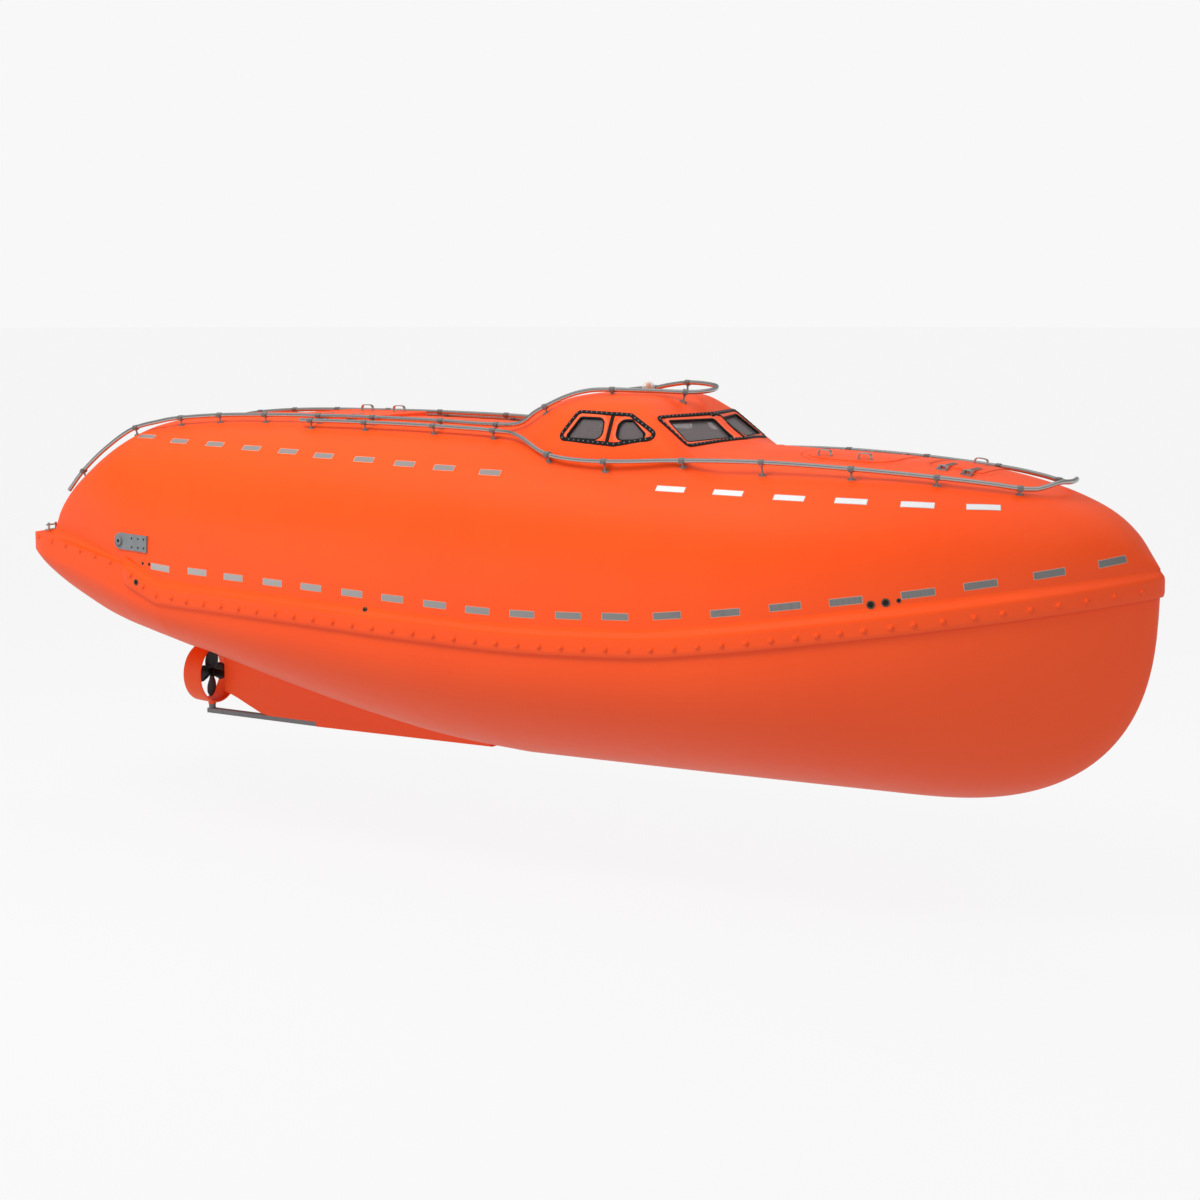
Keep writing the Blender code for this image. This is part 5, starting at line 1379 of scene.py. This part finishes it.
def makeFastenings():
    spots = []
    places = list(fastenings["fore"])
    x = fastenings["fore"][0] - fastenings["spacing"]
    while x > fastenings["last"]:
        places.append(x)
        x -= fastenings["spacing"]
    for side in (-1, 1):
        spots += [fenderSpot(x, side) for x in places]
        pairs = [(x, seamHeight(x) + fastenings["flangeRise"]) for x in fastenings["flange"]]
        spots += [(*fromSide(x, z, side), (1, 0, 0)) for x, z in pairs + fastenings["diagonal"]]
    spots = [s for s in spots if s and s[0]]
    part = domedBolt()
    keep(scatter("fender_bolts", part, spots, finish["orange"]))
    dropPart(part)
    part = screwHead()
    keep(scatter("gasket_screws", part, screwSpots, finish["zinc"]))
    dropPart(part)


makeFastenings()


# Tapes. Lower row: both ends and the level. Upper rows: middle of each tape in three measures.
tapes = {
    "height": 0.065,
    "thickness": 0.0012,
    "lower": [(-4.53, -4.29, 1.045), (-3.94, -3.71, 1.036), (-3.39, -3.17, 1.011), (-2.82, -2.61, 0.992),
              (-2.29, -2.07, 0.973), (-1.74, -1.52, 0.945), (-1.21, -0.99, 0.922), (-0.67, -0.44, 0.894),
              (-0.14, 0.10, 0.868), (0.41, 0.65, 0.868), (0.96, 1.21, 0.890), (1.51, 1.76, 0.918),
              (2.10, 2.36, 0.970), (2.74, 3.00, 1.040), (3.36, 3.63, 1.138), (3.96, 4.23, 1.219),
              (4.63, 4.90, 1.318), (5.18, 5.44, 1.413), (5.75, 6.00, 1.520), (6.24, 6.48, 1.623)],
    "upperAft": [(-5.135, 0.919, 2.484), (-4.538, 1.036, 2.454), (-3.957, 1.106, 2.440), (-3.389, 1.159, 2.416),
                 (-2.849, 1.192, 2.399), (-2.333, 1.227, 2.374), (-1.775, 1.242, 2.355), (-1.23, 1.255, 2.327),
                 (-0.714, 1.262, 2.303), (-0.127, 1.269, 2.275)],
    "upperFore": [(2.038, 1.276, 2.190), (2.686, 1.273, 2.180), (3.351, 1.263, 2.156), (3.987, 1.205, 2.147),
                  (4.632, 1.092, 2.128), (5.222, 0.881, 2.117)],
}


# One tape, 1 m long, as a closed sheet whose points keep their level.
def tapePart():
    mesh = bmesh.new()
    across, along = 4, 14
    sheets = []
    for level in (0.0, tapes["thickness"]):
        sheets.append([[mesh.verts.new((i / along - 0.5, (j / across - 0.5) * tapes["height"], level))
                        for i in range(along + 1)] for j in range(across + 1)])
        joinRings(mesh, sheets[-1], closeAround=False)
    rims = []
    for grid in sheets:
        rims.append(grid[0][:-1] + [row[-1] for row in grid[:-1]] + grid[-1][:0:-1]
                    + [row[0] for row in grid[:0:-1]])
    joinRings(mesh, rims)
    piece = addPiece("tape_part", mesh, finish["tapeGrey"], 60)
    level = piece.data.attributes.new("level", "FLOAT", "POINT")
    level.data.foreach_set("value", np.array([v.co.z for v in piece.data.vertices], np.float32))
    return piece


# Direction along the boat on the surface, level but for the slope.
def levelAlong(normal, slope):
    level = normal.cross(Vector((0, 0, 1)))
    level = (level if level.x > 0 else -level).normalized() + Vector((0, 0, slope))
    return (level - normal * normal.dot(level)).normalized()


def makeTapes():
    grey, roof, white = [], [], []
    for side in (-1, 1):
        for start, end, z in tapes["lower"]:
            x = (start + end) / 2
            slope = max(-0.07, (seamHeight(x + 0.15) - seamHeight(x - 0.15)) / 0.3)
            place, normal = fromSide(x, z, side)
            grey.append((place, normal, levelAlong(normal, slope * 0.95), (end - start + 0.05, 1, 1)))
        for row, chosen, length in (("upperAft", roof, 0.25), ("upperFore", white, 0.32)):
            for x, y, z in tapes[row]:
                place, normal = fromAbove(x, side * y)
                chosen.append((place, normal, levelAlong(normal, -0.03), (length, 1, 1)))
    part = tapePart()
    for name, spots, material in (("tapes_grey", grey, "tapeGrey"), ("tapes_roof", roof, "tapeRoof"),
                                  ("tapes_white", white, "tapeWhite")):
        keep(scatter(name, part, spots, finish[material], surface=canopy, lift=0.0008))
        edges = [(*spot, (stretch[0] + 0.012, 1.18, 1)) for *spot, stretch in spots]
        keep(scatter(name + "_edges", part, edges, finish["tapeEdge"], surface=canopy, lift=0.0002))
    dropPart(part)


makeTapes()


# Skin fittings (X, Z, outer radius), and the bolts and bush of each lifting plate.
outlets = [(-4.696, 1.074, 0.020), (-4.588, 1.071, 0.020), (-4.752, 0.859, 0.036), (-1.449, 0.784, 0.032),
           (4.332, 1.195, 0.042), (4.471, 1.221, 0.042), (4.591, 1.245, 0.024)]
plateFittings = {
    "boltsAcross": (0.54, 0.735, 0.91),      # shares of the plate's length and height
    "boltsUp": (0.24, 0.74),
    "bolt": (0.012, 0.012, 0.008),
    "bushIn": 0.075,                         # how far the bush sits from the plate's aft end
}


def makeOutlets():
    ring = turnedPart("outlet_ring_part", [(0.62, -0.5), (1.0, -0.5), (1.0, 0.18), (0.93, 0.27), (0.78, 0.27),
                                           (0.66, 0.16), (0.62, 0.0)], 24, "brassDull", bore=True)
    # Black disc in each fitting's bore: painted shade for the dark inside of the opening.
    boreShade = turnedPart("outlet_plug_part", [(0.0, -0.5), (0.68, -0.5), (0.68, 0.13), (0.5, 0.13), (0.42, 0.04),
                                           (0.0, 0.02)], 20, "rubber")
    bolt = turnedPart("plate_bolt_part", [(0.0, -0.3), (1.0, -0.3), (1.0, 0.5), (0.8, 0.7), (0.0, 0.7)], 6,
                      "rubber")
    bush = turnedPart("plate_bush_part", [(0.026, -0.006), (0.052, -0.006), (0.052, 0.009), (0.047, 0.013),
                                          (0.030, 0.013), (0.026, 0.009)], 28, "rubber", bore=True)
    rings, bolts, bushes = [], [], []
    for side, name in ((-1, "lifting_plate_starboard"), (1, "lifting_plate_port")):
        for x, z, radius in outlets:
            place, normal = fromSide(x, z, side)
            rings.append((place, normal, (1, 0, 0), (radius, radius, radius * 0.5)))
        plateTree = outsideTree([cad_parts[name]])
        low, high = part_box(name)
        for across in plateFittings["boltsAcross"]:
            for up in plateFittings["boltsUp"]:
                x, z = low.x + across * (high.x - low.x), low.z + up * (high.z - low.z)
                place, normal, _, _ = plateTree.ray_cast(Vector((x, side * 4, z)), Vector((0, -side, 0)))
                bolts.append((place, normal, (1, 0, 0), plateFittings["bolt"]))
        # The bush is cast on the plate beside its eye, then moved back along the plate into the eye.
        middle, beside = (low.z + high.z) / 2, 2 * plateFittings["bushIn"]
        start = Vector((low.x + beside, side * 4, middle))
        place, normal, _, _ = plateTree.ray_cast(start, Vector((0, -side, 0)))
        turn = frameAt((0, 0, 0), (1, 0, 0), normal).to_3x3()
        bushes.append((place - turn @ Vector((plateFittings["bushIn"], 0, 0)), normal, (1, 0, 0)))
    keep(scatter("outlet_rings", ring, rings, finish["brassDull"]))
    keep(scatter("outlet_plugs", boreShade, rings, finish["rubber"]))
    keep(scatter("plate_bolts", bolt, bolts, finish["rubber"]))
    keep(scatter("plate_bushes", bush, bushes, finish["rubber"]))
    for part in (ring, boreShade, bolt, bush):
        dropPart(part)


makeOutlets()
print("bolts, tapes and outlets")


# Lamp on the wheelhouse roof.
lamp = {
    "x": 1.08,
    "foot": 0.075,
    "dome": 0.07,
    "seat": 0.0255,          # level of the dome's rim over the roof
    "top": 4.17 - draft,
}


def makeLamp():
    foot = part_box("lamp_base")[0].z
    place = Matrix.Translation((lamp["x"], 0, foot))
    mesh = bmesh.new()
    lathe(mesh, place, [(0.0, -0.004), (lamp["foot"], -0.004), (lamp["foot"], 0.012), (0.071, 0.018),
                        (0.071, 0.025), (0.05, 0.025), (0.046, 0.029), (0.0, 0.029)], 32)
    keep(addPiece("lamp_foot", mesh, finish["rubber"], 35), stands=("lamp_base",))
    height = lamp["top"] - foot - lamp["seat"]
    start = place @ Matrix.Translation((0, 0, lamp["seat"]))
    dome = lamp["dome"]
    outer = [(dome, 0.0)] + [(dome * math.cos(a), 0.02 + (height - 0.02) * math.sin(a))
                             for a in (math.pi / 2 * k / 12 for k in range(12))] + [(0.0, height)]
    inner = [(0.0, height - 0.004)]
    inner += [(max(0.0, r - 0.004), max(0.0, z - 0.003)) for r, z in reversed(outer[:-1])]
    mesh = bmesh.new()
    rings = []
    for radius, level in outer + inner:
        angles = [0.0] if radius < 1e-6 else [math.tau * k / 32 for k in range(32)]
        rings.append([mesh.verts.new(start @ Vector((radius * math.cos(a), radius * math.sin(a), level)))
                      for a in angles])
    joinRings(mesh, rings, closeAlong=True)
    keep(addPiece("lamp_cover", mesh, finish["dome"], 50), stands=("lamp_dome",))
    mesh = bmesh.new()
    lathe(mesh, start @ Matrix.Translation((0, 0, 0.0045)),
          [(0.0, 0.0), (0.018, 0.0), (0.024, 0.010), (0.029, 0.030), (0.029, 0.052), (0.024, 0.066),
           (0.013, 0.075), (0.0, 0.078)], 20)
    keep(addPiece("lamp_bulb", mesh, finish["amber"], 40))


makeLamp()


# Nozzle and propeller, finer than the CAD solids and on the same axes.
drive = {
    "x": -4.995,
    "z": 0.517 - draft,
    "tip": 0.30,
    "blades": 4,
    "chord": (0.085, 0.125), # at the root, and what it gains by mid-blade
    "pitch": 0.16,           # metres of advance a turn
    "skew": 0.02,
}


def makeNozzle():
    mesh = bmesh.new()
    turnRing(mesh, frameAt((drive["x"], 0, drive["z"]), (0, 1, 0), (1, 0, 0)),
             [(0.352, 0.12), (0.3575, 0.118), (0.362, 0.108), (0.363, 0.09), (0.361, 0.0), (0.356, -0.08),
              (0.351, -0.145), (0.348, -0.15), (0.342, -0.15), (0.338, -0.145), (0.334, -0.08), (0.329, -0.02),
              (0.328, 0.02), (0.330, 0.06), (0.336, 0.1), (0.343, 0.117)], 72)
    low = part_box("steering_nozzle")[0].z
    axis, middle = Matrix.Translation((drive["x"], 0, 0)), drive["z"]
    top = keelHeight(drive["x"] + 0.035) - 0.003
    lathe(mesh, axis, [(0.0, middle + 0.345), (0.045, middle + 0.345), (0.045, middle + 0.372),
                       (0.034, middle + 0.378), (0.034, top), (0.0, top)], 24)
    lathe(mesh, axis, [(0.0, low), (0.049, low), (0.049, middle - 0.35), (0.03, middle - 0.34),
                       (0.0, middle - 0.34)], 24)
    keep(addPiece("nozzle_ring", mesh, finish["orange"], 35), "nozzle", stands=("steering_nozzle",))


def makePropeller():
    mesh = bmesh.new()
    place = frameAt((drive["x"], 0, drive["z"]), (0, 1, 0), (1, 0, 0))
    lathe(mesh, place, [(0.0, -0.075), (0.028, -0.073), (0.042, -0.055), (0.049, -0.03), (0.05, 0.03),
                        (0.05, 0.07), (0.047, 0.075), (0.0, 0.075)], 28)
    lathe(mesh, place, [(0.0, -0.075), (0.02, -0.074), (0.02, -0.072), (0.0, -0.07)], 6)
    rows, points = 13, 12
    for b in range(drive["blades"]):
        spin = Matrix.Rotation(math.tau * b / drive["blades"], 4, "X")
        spin = Matrix.Translation((drive["x"], 0, drive["z"])) @ spin
        rings = []
        for k in range(rows):
            share = k / (rows - 1)
            radius = 0.04 + (drive["tip"] - 0.042) * share
            root, gain = drive["chord"]
            chord = root + gain * math.sin(math.pi * min(1.0, share * 0.9 + 0.08)) ** 0.8
            chord *= math.sqrt(max(0.0, 1 - max(0.0, share - 0.72) ** 2 / 0.08))              # rounds the tip
            chord = max(chord, 0.02)
            pitch = math.atan2(drive["pitch"], math.tau * max(radius, 0.08))
            skew = drive["skew"] * share ** 2
            ring = []
            for i in range(points):
                a = math.tau * i / points
                along = (0.5 * math.cos(a)) * chord + skew
                across = 0.5 * math.sin(a) * (0.016 - 0.0115 * share)
                spot = Vector((along * math.sin(pitch) + across * math.cos(pitch),
                               along * math.cos(pitch) - across * math.sin(pitch), radius))
                ring.append(mesh.verts.new(spin @ spot))
            rings.append(ring)
        joinRings(mesh, rings)
        mesh.faces.new(rings[0])
        mesh.faces.new(list(reversed(rings[-1])))
    keep(addPiece("propeller_casting", mesh, finish["bronze"], 35), "screw",
         stands=("propeller",))


makeNozzle()
makePropeller()
print("lamp, nozzle and propeller")


# CAD nodes that stay get their real finish.
carried = {
    "orange": ["skeg"],
    "grey": ["sole_bar", "lifting_plate_starboard", "lifting_plate_port", "engine_block"],
    "bronze": ["propeller_shaft"],
    "steel": (["stern_bollard_starboard", "stern_bollard_port"]
              + [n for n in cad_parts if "_hinge_" in n]),
    "glass": [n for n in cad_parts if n.startswith("window_glass")],
    "inside": ["cabin_deck", "helm_platform", "helm_console"],
    "rubber": ["helm_seat"],
}
for label, names in carried.items():
    for name in names:
        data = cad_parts[name].data
        data.materials.clear()
        data.materials.append(finish[label])


# Floor, light and camera.
studio = {
    "floorLevel": -2.05,
    "pale": "#F8F8F8",
    "camera": (13.104, -21.865, 4.164),
    "target": (0.48, 0.0, 0.816),
    "lens": 69.645,
    "floorGlow": (0.66, 0.947),              # as it lights, and as it shows
    "room": [(0.22, 0.28), (0.5, 0.25), (0.75, 0.6)],      # height in the room, brightness
    "lights": [("key", (-4, -9, 14), (10, 7), 2100), ("fill", (13, -9, 9), (7, 5), 300),
               ("low", (-11, -13, 1.5), (9, 4), 430), ("back", (0, 10, 12), (14, 5), 700)],
}


def makeStudio():
    scene = bpy.context.scene
    scene.view_settings.view_transform = "Standard"
    mesh = bmesh.new()
    bmesh.ops.create_circle(mesh, cap_ends=True, radius=400, segments=64)
    bmesh.ops.translate(mesh, verts=mesh.verts, vec=(0, 0, studio["floorLevel"]))
    floor = addPiece("studio_floor", mesh, bpy.data.materials.new("studioPaper"), recalc=False)
    paper = floor.data.materials[0]
    paper.use_nodes = True
    shader = paper.node_tree.nodes["Principled BSDF"]
    shader.inputs["Base Color"].default_value = (0.05, 0.05, 0.05, 1.0)
    shader.inputs["Roughness"].default_value = 1.0
    shader.inputs["Specular IOR Level"].default_value = 0.0
    shader.inputs["Emission Color"].default_value = hexColour(studio["pale"])
    seen = addNode(paper.node_tree, "ShaderNodeLightPath", out="Is Camera Ray")
    lights, shows = studio["floorGlow"]
    addNode(paper.node_tree, "ShaderNodeMapRange", {"Value": seen, "To Min": lights, "To Max": shows},
            feeds=shader.inputs["Emission Strength"])

    world = bpy.data.worlds.new("studioRoom")
    scene.world = world
    world.use_nodes = True
    tree = world.node_tree
    way = addNode(tree, "ShaderNodeTexCoord", out="Generated")
    room = addNode(tree, "ShaderNodeValToRGB", {0: addNode(tree, "ShaderNodeSeparateXYZ", {0: way}, "Z")})
    stops = room.node.color_ramp.elements
    stops[0].position, stops[0].color = 0.10, (0.62, 0.62, 0.62, 1.0)
    stops[1].position, stops[1].color = 1.0, (0.75, 0.75, 0.75, 1.0)
    for position, level in studio["room"]:
        stop = stops.new(position)
        stop.color = (level, level, level, 1.0)
    seen = addNode(tree, "ShaderNodeLightPath", out="Is Camera Ray")   # the room is dimmer than its backdrop
    addNode(tree, "ShaderNodeMix", {0: seen, 6: room, 7: hexColour(studio["pale"])}, 2,
            tree.nodes["Background"].inputs[0], data_type="RGBA")

    for name, place, size, power in studio["lights"]:
        light = bpy.data.lights.new(name, "AREA")
        light.shape = "RECTANGLE"
        light.size, light.size_y = size
        light.energy = power
        holder = bpy.data.objects.new(name, light)
        scene.collection.objects.link(holder)
        holder.location = place
        holder.visible_glossy = False                                  # gloss shows the room, not the lamps
        holder.rotation_euler = (Vector((0, 0, 1)) - Vector(place)).to_track_quat("-Z", "Y").to_euler()

    camera = bpy.data.cameras.new("camera")
    camera.lens = studio["lens"]
    camera.sensor_width = 36
    holder = bpy.data.objects.new("camera", camera)
    scene.collection.objects.link(holder)
    holder.location = studio["camera"]
    aim = Vector(studio["target"]) - Vector(studio["camera"])
    holder.rotation_euler = aim.to_track_quat("-Z", "Y").to_euler()
    scene.camera = holder


makeStudio()
print("studio")
